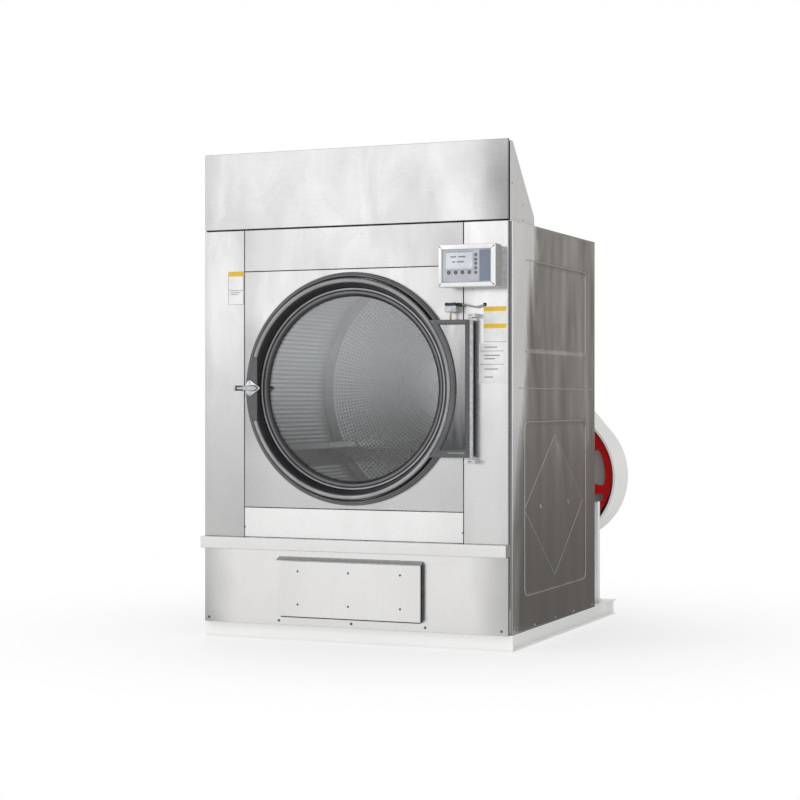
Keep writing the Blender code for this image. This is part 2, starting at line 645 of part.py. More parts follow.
def spoked_wheel():
    """The large wheel of the jackshaft: a rim, a spider with rounded windows and a hub."""
    centre = (JACK_X, JACK_Z)
    near, far = PRIMARY_Y
    bore = JACK_R + 0.0008
    rim_in = 0.264
    wheel = turned("jackshaft_pulley", [(rim_in, near), (WHEEL_R, near), (WHEEL_R, far), (rim_in, far)],
                   centre, "red_paint", steps=48)
    windows = []
    for index in range(SPOKES):
        heading = SPOKE_ANGLE + math.tau * (index + 0.5) / SPOKES
        outline = arc(centre, 0.256, heading - math.radians(16), heading + math.radians(16), 6)
        for radius, offset in ((0.243, 20.0), (0.222, 21.0), (0.120, 17.0), (0.104, 11.0),
                               (0.104, -11.0), (0.120, -17.0), (0.222, -21.0), (0.243, -20.0)):
            angle = heading + math.radians(offset)
            outline.append((centre[0] + radius * math.cos(angle), centre[1] + radius * math.sin(angle)))
        windows.append(outline)
    spider = extrusion("spider", [circle(centre, rim_in + 0.012, 48)] + windows,
                       (near + 0.012, near + 0.032), "Y")
    unite(wheel, spider, rod("hub", 0.062, (near - 0.004, far + 0.004), centre, "Y", steps=24))
    cut(wheel, rod("hub_bore", bore, (near - 0.02, far + 0.02), centre, "Y", steps=24))
    return wheel


def belt(name, planes, centre_a, radius_a, centre_b, radius_b):
    """A flat closed belt round two pulleys."""
    inside = wrap(centre_a, radius_a + BELT_SLACK, centre_b, radius_b + BELT_SLACK)
    outside = wrap(centre_a, radius_a + BELT_SLACK + BELT_T, centre_b, radius_b + BELT_SLACK + BELT_T)
    extrusion(name, [outside, inside], inset(planes, 0.008), "Y", "rubber")


def drive():
    """The motor, the jackshaft in its bearing block, both belts, their guard and the stand."""
    jack = (JACK_X, JACK_Z)
    motor = (MOTOR_X, MOTOR_Z)
    near, far = SECONDARY_Y
    shaft = turned("jackshaft",
                   [(0, 1.460), (JACK_R, 1.460), (JACK_R, near), (JACK_PULLEY_R, near), (JACK_PULLEY_R, far),
                    (JACK_R, far), (JACK_R, PRIMARY_Y[1] + 0.016), (0, PRIMARY_Y[1] + 0.016)],
                   jack, "cast_iron", steps=32)
    pivot("jackshaft_axis", (JACK_X, near, JACK_Z), [shaft, spoked_wheel()])

    seat = TABLE_Z[1] + GAP
    block = [(JACK_X - 0.110, seat), (JACK_X + 0.110, seat), (JACK_X + 0.110, seat + 0.022),
             (JACK_X + 0.062, seat + 0.034)]
    block += arc(jack, 0.058, math.radians(-10), math.radians(190), 12)
    block += [(JACK_X - 0.062, seat + 0.034), (JACK_X - 0.110, seat + 0.022)]
    extrusion("jackshaft_bearing_block", [block, circle(jack, JACK_R + 0.0008, 32)], (1.490, 1.630), "Y",
              "cast_iron")

    body_y = (1.300, 1.590)
    drive_motor = turned("drive_motor",
                         [(0, body_y[0]), (0.070, body_y[0]), (MOTOR_R, body_y[0] + 0.025),
                          (MOTOR_R, body_y[1] - 0.020), (0.050, body_y[1]), (MOTOR_BORE_R, body_y[1]),
                          (MOTOR_BORE_R, body_y[1] - 0.040), (0, body_y[1] - 0.040)],
                         motor, "motor_paint", steps=32)
    unite(drive_motor,
          box("motor_feet", (MOTOR_X - 0.095, MOTOR_X + 0.095), (1.350, 1.530), (seat, MOTOR_Z - 0.060)),
          box("terminal_box", (MOTOR_X - 0.045, MOTOR_X + 0.045), (1.370, 1.470),
              (MOTOR_Z + 0.060, MOTOR_Z + 0.125)))
    low, high = PRIMARY_Y
    rotor = turned("motor_pulley",
                   [(0, body_y[1] - 0.036), (0.014, body_y[1] - 0.036), (0.014, low),
                    (MOTOR_PULLEY_R, low), (MOTOR_PULLEY_R, high), (0, high)],
                   motor, "cast_iron", steps=32)
    pivot("motor_axis", (MOTOR_X, low, MOTOR_Z), [rotor])

    belt("primary_belt", PRIMARY_Y, motor, MOTOR_PULLEY_R, jack, WHEEL_R)
    belt("secondary_belt", SECONDARY_Y, jack, JACK_PULLEY_R, (0, DRUM_Z), DRUM_PULLEY_R)

    guard = extrusion("belt_guard", [wrap(*GUARD_LOW, *GUARD_HIGH)], GUARD_Y, "Y", "white_paint")
    hollow = wrap(GUARD_LOW[0], GUARD_LOW[1] - SHEET, GUARD_HIGH[0], GUARD_HIGH[1] - SHEET)
    cut(guard, extrusion("guard_hollow", [hollow], (GUARD_Y[0] - 0.01, GUARD_Y[1] - SHEET), "Y"))

    table_y = (CABINET_REAR + GAP, GUARD_Y[0] - 0.004)
    table = box("drive_table", (-TABLE_HALF, TABLE_HALF), table_y, TABLE_Z, "dark_paint")
    cut(table, box("table_hollow", (-TABLE_HALF + 0.006, TABLE_HALF - 0.006), inset(table_y, 0.006),
                   (TABLE_Z[0] - 0.01, TABLE_Z[1] - 0.008)))
    wall = 0.004
    for word, side in (("left", -1), ("right", 1)):
        post_x = mirrored(POST_X, side)
        extrusion("stand_post_" + word,
                  [rectangle(post_x, POST_Y), rectangle(inset(post_x, wall), inset(POST_Y, wall))],
                  (BASE_H + GAP, TABLE_Z[0] - GAP), "Z", "white_paint")


def volute(radius, duct_low, duct_top, end_x):
    """The fan's spiral outline with its straight outlet to the left."""
    centre = (FAN_X, FAN_Z)
    turn = math.asin((duct_top - FAN_Z) / radius)
    outline = arc(centre, radius, math.radians(-90), math.pi - turn, 28)
    return outline + [(end_x, duct_top), (end_x, duct_low)]


def exhaust_fan():
    """The fan that draws air from the cabinet and blows it out to the left."""
    centre = (FAN_X, FAN_Z)
    low = FAN_Z - FAN_R
    housing = extrusion("fan_housing", [volute(FAN_R, low, FAN_DUCT_TOP, FAN_END_X)], FAN_Y, "Y",
                        "galvanised")
    unite(housing, box("outlet_flange", (-0.750, FAN_END_X + 0.001), (FAN_Y[0] - 0.013, FAN_Y[1] + 0.013),
                       (low - FAN_FLANGE, FAN_DUCT_TOP + FAN_FLANGE)))
    inside = volute(FAN_R - SHEET, low + SHEET, FAN_DUCT_TOP - SHEET, -0.780)
    cut(housing, extrusion("volute_hollow", [inside], inset(FAN_Y, SHEET), "Y"),
        rod("inlet_hole", FAN_INLET_R, (FAN_Y[0] - 0.01, FAN_Y[0] + 0.01), centre, "Y"),
        rod("fan_shaft_hole", 0.020, (FAN_Y[1] - 0.01, FAN_Y[1] + 0.01), centre, "Y", steps=20))

    plate_y = 1.420
    motor_y = FAN_Y[1] + GAP
    impeller = turned("fan_impeller",
                      [(0, 1.380), (0.030, 1.380), (0.034, plate_y), (0.170, plate_y),
                       (0.170, plate_y + 0.004), (0.030, plate_y + 0.004), (0.030, 1.440), (0.013, 1.440),
                       (0.013, motor_y + 0.030), (0, motor_y + 0.030)],
                      centre, "galvanised", steps=32)
    for index in range(8):
        blade = box("blade_%d" % index, (0.070, 0.165), (1.310 - DATUM_Y, plate_y + 0.002 - DATUM_Y),
                    (-0.002, 0.002))
        turn = Matrix.Rotation(math.tau * index / 8, 4, "Y")
        blade.matrix_world = Matrix.Translation((FAN_X, DATUM_Y, FAN_Z)) @ turn @ \
            Matrix.Translation((0.1175, middle((1.310, plate_y + 0.002)), 0.0))
        unite(impeller, blade)
    pivot("fan_axis", (FAN_X, plate_y, FAN_Z), [impeller])
    turned("fan_motor",
           [(0, motor_y + 0.034), (MOTOR_BORE_R, motor_y + 0.034), (MOTOR_BORE_R, motor_y), (0.075, motor_y),
            (0.095, motor_y + 0.012), (0.095, motor_y + 0.150), (0.070, motor_y + 0.172),
            (0, motor_y + 0.172)],
           centre, "motor_paint", steps=32)


for existing in list(bpy.data.objects):
    bpy.data.objects.remove(existing)
PARTS = new_collection(NAME)
CUTTERS = new_collection("cutters")

base_frame()
cabinet()
header()
lint_drawer()
door()
door_switch()
control_box()
drum()
drive()
exhaust_fan()
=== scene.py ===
"""Looks of the industrial tumble dryer: studio, camera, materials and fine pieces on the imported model."""

import json
import math

import bmesh
import bpy
from mathutils import Matrix, Vector


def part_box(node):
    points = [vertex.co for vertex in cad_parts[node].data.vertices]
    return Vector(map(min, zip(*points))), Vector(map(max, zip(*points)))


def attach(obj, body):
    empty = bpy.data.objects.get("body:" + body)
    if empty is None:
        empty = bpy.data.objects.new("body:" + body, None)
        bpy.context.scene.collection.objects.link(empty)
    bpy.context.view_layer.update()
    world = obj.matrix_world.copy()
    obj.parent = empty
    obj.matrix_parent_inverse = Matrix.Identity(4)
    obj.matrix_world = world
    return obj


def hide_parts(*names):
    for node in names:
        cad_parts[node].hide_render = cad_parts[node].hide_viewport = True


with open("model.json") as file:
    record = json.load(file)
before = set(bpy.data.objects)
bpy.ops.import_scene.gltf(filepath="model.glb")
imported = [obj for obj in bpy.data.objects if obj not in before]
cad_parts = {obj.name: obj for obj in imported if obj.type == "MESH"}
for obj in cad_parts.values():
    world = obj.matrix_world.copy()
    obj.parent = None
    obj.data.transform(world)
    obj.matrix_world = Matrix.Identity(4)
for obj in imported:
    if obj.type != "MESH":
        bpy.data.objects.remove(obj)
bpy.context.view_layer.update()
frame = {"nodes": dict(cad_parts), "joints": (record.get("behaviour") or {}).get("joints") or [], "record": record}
NODES = frame["nodes"]


def span(node, axis):
    """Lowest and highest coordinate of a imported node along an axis; depths count from the front panels."""
    index = "XYZ".index(axis)
    low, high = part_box(node)
    shift = FRONT if axis == "Y" else 0.0
    return (low[index] - shift, high[index] - shift)


def middle(pair):
    """Halfway between two values."""
    return (pair[0] + pair[1]) / 2


def inset(pair, amount):
    """A span shortened by an amount at both ends."""
    return (pair[0] + amount, pair[1] - amount)


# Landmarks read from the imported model
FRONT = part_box("front_door_panel")[0].y
DOOR_Z = middle(span("door_ring", "Z"))
DRUM_R = span("drum_shell", "X")[1]
DRUM_REAR = span("drum_shell", "Y")[1]
PLACES = {joint["name"]: joint.get("pos_m") for joint in frame["joints"]}
HINGE_X = PLACES["door_swing"][0]
HINGE_Y = PLACES["door_swing"][1] - FRONT
DOOR_AXIS = (0.0, FRONT, DOOR_Z)
JACK = (PLACES["jackshaft_spin"][0], PLACES["jackshaft_spin"][2])
MOTOR = (PLACES["motor_spin"][0], PLACES["motor_spin"][2])
FAN = (PLACES["fan_spin"][0], PLACES["fan_spin"][2])
PLUNGER = (0.498, FRONT - 0.042, 0)                # the door switch's plunger, whose axis is upright
KEYS_Y = FRONT - 0.1272                            # face of the control box's membrane

# Camera at the photograph's viewing angle: metres from the front's middle, degrees and millimetres
CAMERA_RIGHT = 3.429
CAMERA_BEFORE = 7.620
CAMERA_HEIGHT = 1.1065
CAMERA_TURN = 22.716
CAMERA_LENS = 83.15

# Local axes of an outline, as columns: across, up and along
AXES = {
    "X": Matrix(((0, 0, 1), (1, 0, 0), (0, 1, 0))).to_4x4(),
    "Y": Matrix(((1, 0, 0), (0, 0, -1), (0, 1, 0))).to_4x4(),
    "Z": Matrix.Identity(4),
}
UNIT = {"X": Vector((1, 0, 0)), "Y": Vector((0, 1, 0)), "Z": Vector((0, 0, 1))}


# ---------------------------------------------------------------- materials

class Nodes:
    """Short calls for the nodes of a material or a world."""

    def __init__(self, tree, coordinates):
        self.tree = tree
        self.coordinates = tree.nodes.new("ShaderNodeTexCoord").outputs[coordinates]

    def new(self, kind):
        return self.tree.nodes.new("ShaderNode" + kind)

    def feed(self, socket, value):
        """Link an output to a socket, or set a plain value on it."""
        if isinstance(value, bpy.types.NodeSocket):
            self.tree.links.new(value, socket)
        else:
            socket.default_value = value

    def stretched(self, scale):
        """The coordinates scaled along each axis, in repeats per metre."""
        node = self.new("Mapping")
        self.feed(node.inputs["Vector"], self.coordinates)
        node.inputs["Scale"].default_value = scale
        return node.outputs["Vector"]

    def axes(self):
        node = self.new("SeparateXYZ")
        self.feed(node.inputs[0], self.coordinates)
        return node.outputs

    def noise(self, scale, detail=4.0, roughness=0.55, distortion=0.0):
        node = self.new("TexNoise")
        self.feed(node.inputs["Vector"], self.stretched(scale))
        node.inputs["Scale"].default_value = 1.0
        node.inputs["Detail"].default_value = detail
        node.inputs["Roughness"].default_value = roughness
        node.inputs["Distortion"].default_value = distortion
        return node.outputs["Fac"]

    def spread(self, value, low, high, start=0.0, end=1.0, curve="LINEAR"):
        """Map a value from one range to another, clamped."""
        node = self.new("MapRange")
        node.interpolation_type = curve
        self.feed(node.inputs["Value"], value)
        node.inputs["From Min"].default_value = start
        node.inputs["From Max"].default_value = end
        node.inputs["To Min"].default_value = low
        node.inputs["To Max"].default_value = high
        return node.outputs["Result"]

    def math(self, operation, first, second=0.0):
        node = self.new("Math")
        node.operation = operation
        self.feed(node.inputs[0], first)
        self.feed(node.inputs[1], second)
        return node.outputs["Value"]

    def plus(self, first, second):
        return self.math("ADD", first, second)

    def minus(self, first, second):
        return self.math("SUBTRACT", first, second)

    def times(self, first, second):
        return self.math("MULTIPLY", first, second)

    def length(self, first, second):
        """The diagonal of two distances."""
        return self.math("SQRT", self.plus(self.times(first, first), self.times(second, second)))

    def along(self, direction):
        """How far the coordinates lie along a direction."""
        node = self.new("VectorMath")
        node.operation = "DOT_PRODUCT"
        self.feed(node.inputs[0], self.coordinates)
        node.inputs[1].default_value = direction
        return node.outputs["Value"]

    def between(self, value, low, high, soft):
        """One inside a span and zero outside it, with soft ends."""
        rise = self.spread(value, 0.0, 1.0, low - soft, low + soft, "SMOOTHSTEP")
        fall = self.spread(value, 1.0, 0.0, high - soft, high + soft, "SMOOTHSTEP")
        return self.times(rise, fall)

    def mix(self, factor, first, second):
        """Blend two colours, each a triple or an output."""
        node = self.new("Mix")
        node.data_type = "RGBA"
        self.feed(node.inputs["Factor"], factor)
        for socket, colour in ((node.inputs[6], first), (node.inputs[7], second)):
            self.feed(socket, colour if isinstance(colour, bpy.types.NodeSocket) else (*colour, 1.0))
        return node.outputs[2]


class Look(Nodes):
    """A Principled material under construction."""

    def __init__(self, name, colour, roughness, metallic=0.0, **sockets):
        self.material = bpy.data.materials.new(name)
        self.material.use_nodes = True
        super().__init__(self.material.node_tree, "Object")
        self.shader = self.tree.nodes["Principled BSDF"]
        self.shader.inputs["Base Color"].default_value = (*colour, 1.0)
        self.shader.inputs["Roughness"].default_value = roughness
        self.shader.inputs["Metallic"].default_value = metallic
        for socket, value in sockets.items():
            self.shader.inputs[socket.replace("_", " ")].default_value = value

    def colour(self, value):
        self.feed(self.shader.inputs["Base Color"], value)

    def roughness(self, value):
        self.feed(self.shader.inputs["Roughness"], value)

    def bump(self, height, distance, strength=1.0):
        node = self.new("Bump")
        node.inputs["Distance"].default_value = distance
        node.inputs["Strength"].default_value = strength
        self.feed(node.inputs["Height"], height)
        self.feed(self.shader.inputs["Normal"], node.outputs["Normal"])


def shade(colour, factor):
    """A colour made darker or lighter."""
    return tuple(channel * factor for channel in colour)


def brushed_steel(name, colour, roughness, grain, field=None, ends=(0.0, 0.0), foot=0.0, metallic=1.0):
    """Brushed sheet: grain, broad tone changes, faint smears, painted shade towards the ends of its field and
    painted shade at its foot.
    """
    look = Look(name, colour, roughness, metallic)
    fine = look.noise(grain, detail=3.0)
    broad = look.noise((1.6, 1.6, 0.9), detail=2.0)
    smear = look.noise((5.0, 5.0, 2.2), detail=5.0, distortion=0.6)
    tone = look.plus(look.spread(fine, -0.05, 0.05, 0.3, 0.7), look.spread(broad, -0.04, 0.04, 0.3, 0.7))
    shown = look.mix(look.spread(tone, 0.0, 1.0, -0.10, 0.10), shade(colour, 0.985), shade(colour, 1.008))
    if field:
        (left, right), (low, high) = field
        x, _, z = look.axes()
        warp = look.times(look.minus(look.noise((4.0, 4.0, 2.6), detail=1.0), 0.5), 0.16)
        reach = min(0.19, (right - left) * 0.24)
        # Painted shade: the field darkens patchily towards its left and right ends, as strongly as ends asks.
        painted_end_shade = 0.0
        for aside, strength in ((look.minus(x, left), ends[0]), (look.minus(right, x), ends[1])):
            painted_end_shade = look.plus(painted_end_shade, look.spread(look.plus(aside, warp), strength, 0.0, 0.0, reach,
                                                      "SMOOTHSTEP"))
        patch = look.spread(look.noise((0.9, 0.9, 1.7), detail=0.0), 0.40, 1.0, 0.35, 0.65, "SMOOTHSTEP")
        shown = look.mix(look.times(painted_end_shade, patch), shown, shade(colour, 0.30))
        # Painted shade: the field darkens towards its foot, as strongly as foot asks.
        fade = look.spread(z, foot, 0.0, low, low + (high - low) * 0.7, "SMOOTHSTEP")
        shown = look.mix(fade, shown, shade(colour, 0.45))
    look.colour(shown)
    look.roughness(look.plus(look.spread(fine, -0.02, 0.03, 0.3, 0.7),
                             look.spread(smear, roughness - 0.04, roughness + 0.06, 0.35, 0.7)))
    look.bump(fine, 0.000004)
    return look.material


def mirror_steel(name, colour, roughness=0.09):
    """Bright rolled sheet: slightly wavy, with painted light beside its front edge, where it is also less
    metallic, and painted shade at its foot.
    """
    look = Look(name, colour, roughness, 1.0)
    fine = look.noise((500.0, 500.0, 5.0), detail=3.0)
    wave = look.noise((2.6, 2.6, 1.0), detail=1.5)
    smear = look.noise((5.0, 5.0, 1.2), detail=5.0, distortion=0.8)
    _, y, z = look.axes()
    depth = look.minus(y, FRONT)
    # Painted light: a band beside the front edge is lighter and less metallic.
    edge = look.plus(look.spread(z, 0.10, 0.36, 0.55, 1.75), look.spread(smear, -0.05, 0.05, 0.3, 0.7))
    painted_front_light = look.spread(look.minus(depth, edge), 1.0, 0.0, -0.09, 0.03, "SMOOTHSTEP")
    painted_front_light = look.times(painted_front_light, look.spread(z, 0.25, 1.0, 0.2, 1.1))
    # Painted shade: darker towards the foot.
    foot = look.spread(z, 0.20, 1.0, 0.10, 1.25, "SMOOTHSTEP")
    tone = look.mix(look.spread(smear, 0.0, 1.0, 0.3, 0.7), shade(colour, 0.82), shade(colour, 1.12))
    tone = look.mix(foot, shade(colour, 0.42), tone)
    look.colour(look.mix(painted_front_light, tone, (0.86, 0.86, 0.86)))
    look.feed(look.shader.inputs["Metallic"], look.spread(painted_front_light, 1.0, 0.45))
    look.roughness(look.spread(smear, roughness, roughness + 0.12, 0.35, 0.75))
    look.bump(look.plus(wave, look.times(fine, 0.003)), 0.011)
    return look.material


def painted(name, colour, roughness, orange_peel=0.00012, dust=0.10, grain=220.0):
    """Sprayed paint: orange peel, slight tone changes and a little dust."""
    look = Look(name, colour, roughness, 0.0, Coat_Weight=0.25, Coat_Roughness=0.12)
    cloud = look.noise((2.5, 2.5, 2.5), detail=4.0)
    speck = look.noise((60.0, 60.0, 60.0), detail=3.0)
    worn = look.times(look.spread(cloud, 0.0, 1.0, 0.42, 0.72), look.spread(speck, 0.3, 1.0, 0.4, 0.7))
    look.colour(look.mix(look.times(worn, dust), colour, shade(colour, 0.62)))
    look.roughness(look.spread(cloud, roughness - 0.06, roughness + 0.10, 0.3, 0.7))
    look.bump(look.noise((grain, grain, grain), detail=2.0), orange_peel)
    return look.material


def graphite_casting(name, colour, roughness=0.33, fade=None, texture=0.00012):
    """Satin graphite paint on a casting, with a fine hammered texture and rubbed lighter spots."""
    look = Look(name, colour, roughness, 0.60, Coat_Weight=0.3, Coat_Roughness=0.18)
    hammer = look.noise((160.0, 160.0, 160.0), detail=3.0)
    cloud = look.noise((6.0, 6.0, 6.0), detail=4.0)
    shown = look.mix(look.spread(cloud, 0.0, 1.0, 0.3, 0.75), shade(colour, 0.82), shade(colour, 1.22))
    if fade:
        low, high, gain = fade
        height = look.spread(look.axes()[2], 0.0, 1.0, low, high, "SMOOTHSTEP")
        shown = look.mix(look.times(height, 0.9), shown, shade(colour, gain))
    look.colour(shown)
    look.roughness(look.spread(hammer, roughness - 0.08, roughness + 0.12, 0.3, 0.7))
    look.bump(hammer, texture)
    return look.material


def ring_casting(name, bands, roughness=0.24):
    """Graphite paint on a turned ring, toned by bands of radius: painted highlights on its crests and painted
    shade in its grooves.
    """
    look = Look(name, (0.1, 0.1, 0.1), roughness, 0.55, Coat_Weight=0.4, Coat_Roughness=0.12)
    x, _, z = look.axes()
    up = look.minus(z, DOOR_Z)
    radius = look.length(x, up)
    ramp = look.new("ValToRGB")
    low, high = bands[0][0], bands[-1][0]
    look.feed(ramp.inputs["Fac"], look.spread(radius, 0.0, 1.0, low, high))
    elements = ramp.color_ramp.elements
    elements.remove(elements[1])
    for index, (place, grey) in enumerate(bands):
        element = elements[0] if index == 0 else elements.new((place - low) / (high - low))
        element.color = (grey, grey, grey * 1.03, 1.0)
    cloud = look.noise((9.0, 9.0, 9.0), detail=4.0)
    look.colour(look.mix(look.spread(cloud, 0.0, 0.35, 0.3, 0.75), ramp.outputs["Color"],
                         (0.03, 0.03, 0.033)))
    look.roughness(look.spread(cloud, roughness - 0.06, roughness + 0.12, 0.3, 0.7))
    look.bump(look.noise((160.0, 160.0, 160.0), detail=3.0), 0.00010)
    return look.material


def moulded(name, colour, roughness, texture=500.0, height=0.00005):
    """Moulded plastic or rubber with a fine spark-eroded texture."""
    look = Look(name, colour, roughness)
    grain = look.noise((texture, texture, texture), detail=2.0)
    cloud = look.noise((14.0, 14.0, 14.0), detail=3.0)
    look.colour(look.mix(look.spread(cloud, 0.0, 1.0, 0.35, 0.7), colour, shade(colour, 0.82)))
    look.roughness(look.spread(grain, roughness - 0.05, roughness + 0.08, 0.3, 0.7))
    look.bump(grain, height)
    return look.material


def polished(name, colour, roughness=0.07):
    """Plated or turned metal with faint polishing marks."""
    look = Look(name, colour, roughness, 1.0)
    marks = look.noise((40.0, 400.0, 400.0), detail=3.0)
    look.colour(look.mix(look.spread(marks, 0.0, 1.0, 0.3, 0.7), shade(colour, 0.88), colour))
    look.roughness(look.spread(marks, roughness, roughness + 0.10, 0.35, 0.7))
    look.bump(marks, 0.00003)
    return look.material


def cast_metal(name, colour, roughness=0.5):
    """Rough casting, darker in its pits."""
    look = Look(name, colour, roughness, 0.7)
    pits = look.noise((110.0, 110.0, 110.0), detail=6.0, roughness=0.65)
    look.colour(look.mix(look.spread(pits, 0.0, 1.0, 0.35, 0.6), shade(colour, 0.55), shade(colour, 1.15)))
    look.roughness(look.spread(pits, roughness + 0.15, roughness - 0.10, 0.3, 0.7))
    look.bump(pits, 0.0006)
    return look.material


def galvanised(name, colour, roughness=0.36):
    """Zinc-coated sheet with its crystal spangle."""
    look = Look(name, colour, roughness, 0.9)
    cells = look.new("TexVoronoi")
    look.feed(cells.inputs["Vector"], look.stretched((55.0, 55.0, 55.0)))
    cells.inputs["Scale"].default_value = 1.0
    spangle = look.spread(cells.outputs["Distance"], 0.0, 1.0, 0.1, 0.8)
    look.colour(look.mix(spangle, shade(colour, 1.08), shade(colour, 0.84)))
    look.roughness(look.spread(cells.outputs["Distance"], roughness - 0.06, roughness + 0.12, 0.1, 0.8))
    look.bump(look.noise((300.0, 300.0, 300.0), detail=2.0), 0.00006)
    return look.material


def perforated_steel(name, colour, pitch=0.022, hole=0.30):
    """Drum sheet: holes in rows along its wall and in spokes on its end, plain at the rear corner, where painted
    shade darkens it.
    """
    look = Look(name, colour, 0.22, 0.85)
    x, y, z = look.axes()
    up = look.minus(z, DOOR_Z)
    angle = look.math("ARCTAN2", up, x)
    radius = look.length(x, up)
    rows = round(math.tau * DRUM_R / pitch)
    u = look.minus(look.math("FRACT", look.times(angle, rows / math.tau)), 0.5)
    v = look.minus(look.math("FRACT", look.math("DIVIDE", look.minus(y, radius), 0.017)), 0.5)
    away = look.length(u, v)
    metal = look.spread(away, 0.0, 1.0, hole - 0.03, hole + 0.03)
    rear = FRONT + DRUM_REAR
    corner = look.times(look.spread(y, 0.0, 1.0, rear - 0.034, rear - 0.032),
                       look.spread(radius, 0.0, 1.0, 0.612, 0.614))
    inner = look.spread(radius, 1.0, 0.0, 0.150, 0.152)
    metal = look.math("MAXIMUM", look.math("MAXIMUM", metal, corner), inner)
    fine = look.noise((30.0, 30.0, 500.0), detail=3.0)
    tone = look.mix(look.spread(fine, 0.0, 1.0, 0.3, 0.7), shade(colour, 0.80), shade(colour, 1.08))
    # Painted shade: the plain band at the rear corner is darkened.
    tone = look.mix(corner, tone, (0.10, 0.10, 0.105))
    look.colour(look.mix(metal, (0.012, 0.012, 0.012), tone))
    look.roughness(look.spread(metal, 0.85, 0.22))
    look.bump(metal, 0.0008, 0.8)
    return look.material


def door_glass_look(name, facing_on=0.115):
    """Clear pane: it mirrors a little head on and more at a slant, and lets the rest straight through."""
    material = bpy.data.materials.new(name)
    material.use_nodes = True
    tree = material.node_tree
    tree.nodes.clear()
    build = Nodes(tree, "Object")
    out = build.new("OutputMaterial")
    blend = build.new("MixShader")
    slant = build.new("LayerWeight")
    slant.inputs["Blend"].default_value = 0.5
    gloss = build.spread(build.math("POWER", slant.outputs["Facing"], 4.0), facing_on, 1.0)
    clear = build.new("BsdfTransparent")
    clear.inputs["Color"].default_value = (0.95, 0.965, 0.965, 1.0)
    mirror = build.new("BsdfGlossy")
    mirror.inputs["Roughness"].default_value = 0.01
    bump = build.new("Bump")
    bump.inputs["Distance"].default_value = 0.0004
    build.feed(bump.inputs["Height"], build.noise((2.4, 2.4, 2.4), detail=1.0))
    build.feed(mirror.inputs["Normal"], bump.outputs["Normal"])
    build.feed(blend.inputs["Fac"], gloss)
    build.feed(blend.inputs[1], clear.outputs["BSDF"])
    build.feed(blend.inputs[2], mirror.outputs["BSDF"])
    build.feed(out.inputs["Surface"], blend.outputs["Shader"])
    return material


def sunk_field(name, top, foot, low, high):
    """Satin paint in a sunk field, with painted light at its top and painted shade at its foot, and brushed
    smears.
    """
    look = Look(name, top, 0.30, 0.5, Coat_Weight=0.3, Coat_Roughness=0.2)
    smear = look.noise((30.0, 30.0, 4.0), detail=4.0, distortion=0.5)
    height = look.plus(look.axes()[2], look.spread(smear, -0.06, 0.06, 0.3, 0.7))
    shown = look.mix(look.spread(height, 0.0, 1.0, low, high), foot, top)
    look.colour(look.mix(look.spread(smear, 0.0, 0.5, 0.4, 0.75), shown, shade(foot, 1.6)))
    look.roughness(look.spread(smear, 0.24, 0.36, 0.3, 0.7))
    look.bump(smear, 0.0001)
    return look.material


STEEL = (0.905, 0.895, 0.885)
ALONG_X = (9.0, 900.0, 900.0)
ALONG_Z = (900.0, 900.0, 9.0)
LOOKS = {
    "stainless_front": brushed_steel("front_stainless", STEEL, 0.26, ALONG_Z),
    "stainless_side": mirror_steel("side_stainless", (0.60, 0.58, 0.56)),
    "stainless_drum": perforated_steel("drum_stainless", (0.74, 0.745, 0.75)),
    "galvanised": galvanised("galvanised_sheet", (0.58, 0.60, 0.62)),
    "white_paint": painted("off_white_paint", (0.87, 0.87, 0.86), 0.34, dust=0.06),
    "dark_paint": painted("dark_table_paint", (0.060, 0.060, 0.064), 0.42),
    "graphite": graphite_casting("graphite_paint", (0.115, 0.118, 0.125), 0.28),
    "chrome": polished("chrome_plate", (0.62, 0.63, 0.64), 0.10),
    "glass": door_glass_look("clear_glass"),
    "rubber": moulded("black_rubber", (0.018, 0.018, 0.019), 0.62),
    "red_paint": painted("red_wheel_paint", (0.86, 0.014, 0.016), 0.30),
    "cast_iron": cast_metal("cast_iron", (0.17, 0.175, 0.18)),
    "motor_paint": painted("motor_blue_grey", (0.075, 0.12, 0.18), 0.42),
    "display_film": moulded("display_film", (0.42, 0.45, 0.52), 0.22, 800.0, 0.00002),
    "button_plastic": polished("button_plastic", (0.20, 0.205, 0.22), 0.22),
    "black_plastic": moulded("black_plastic", (0.022, 0.022, 0.023), 0.40),
    "cable_grey": moulded("cable_jacket", (0.30, 0.30, 0.31), 0.45),
    "brass": polished("turned_brass", (0.46, 0.34, 0.20), 0.18),
    "heater_fins": brushed_steel("heater_fins", (0.62, 0.64, 0.66), 0.35, (500.0, 20.0, 20.0)),
}
# The cone is near black, far darker than the rest of the door casting: painted shade for the deep recess round the
# glass.
CONE_BLACK = graphite_casting("cone_black", (0.018, 0.018, 0.020), 0.26)
BEAD_GREY = graphite_casting("bead_grey", (0.34, 0.345, 0.355), 0.28)
# The hinge plate's sunk field: painted light at its top, painted shade at its foot.
FIELD_GREY = sunk_field("field_grey", (0.66, 0.65, 0.64), (0.050, 0.052, 0.056), 0.92, 1.46)
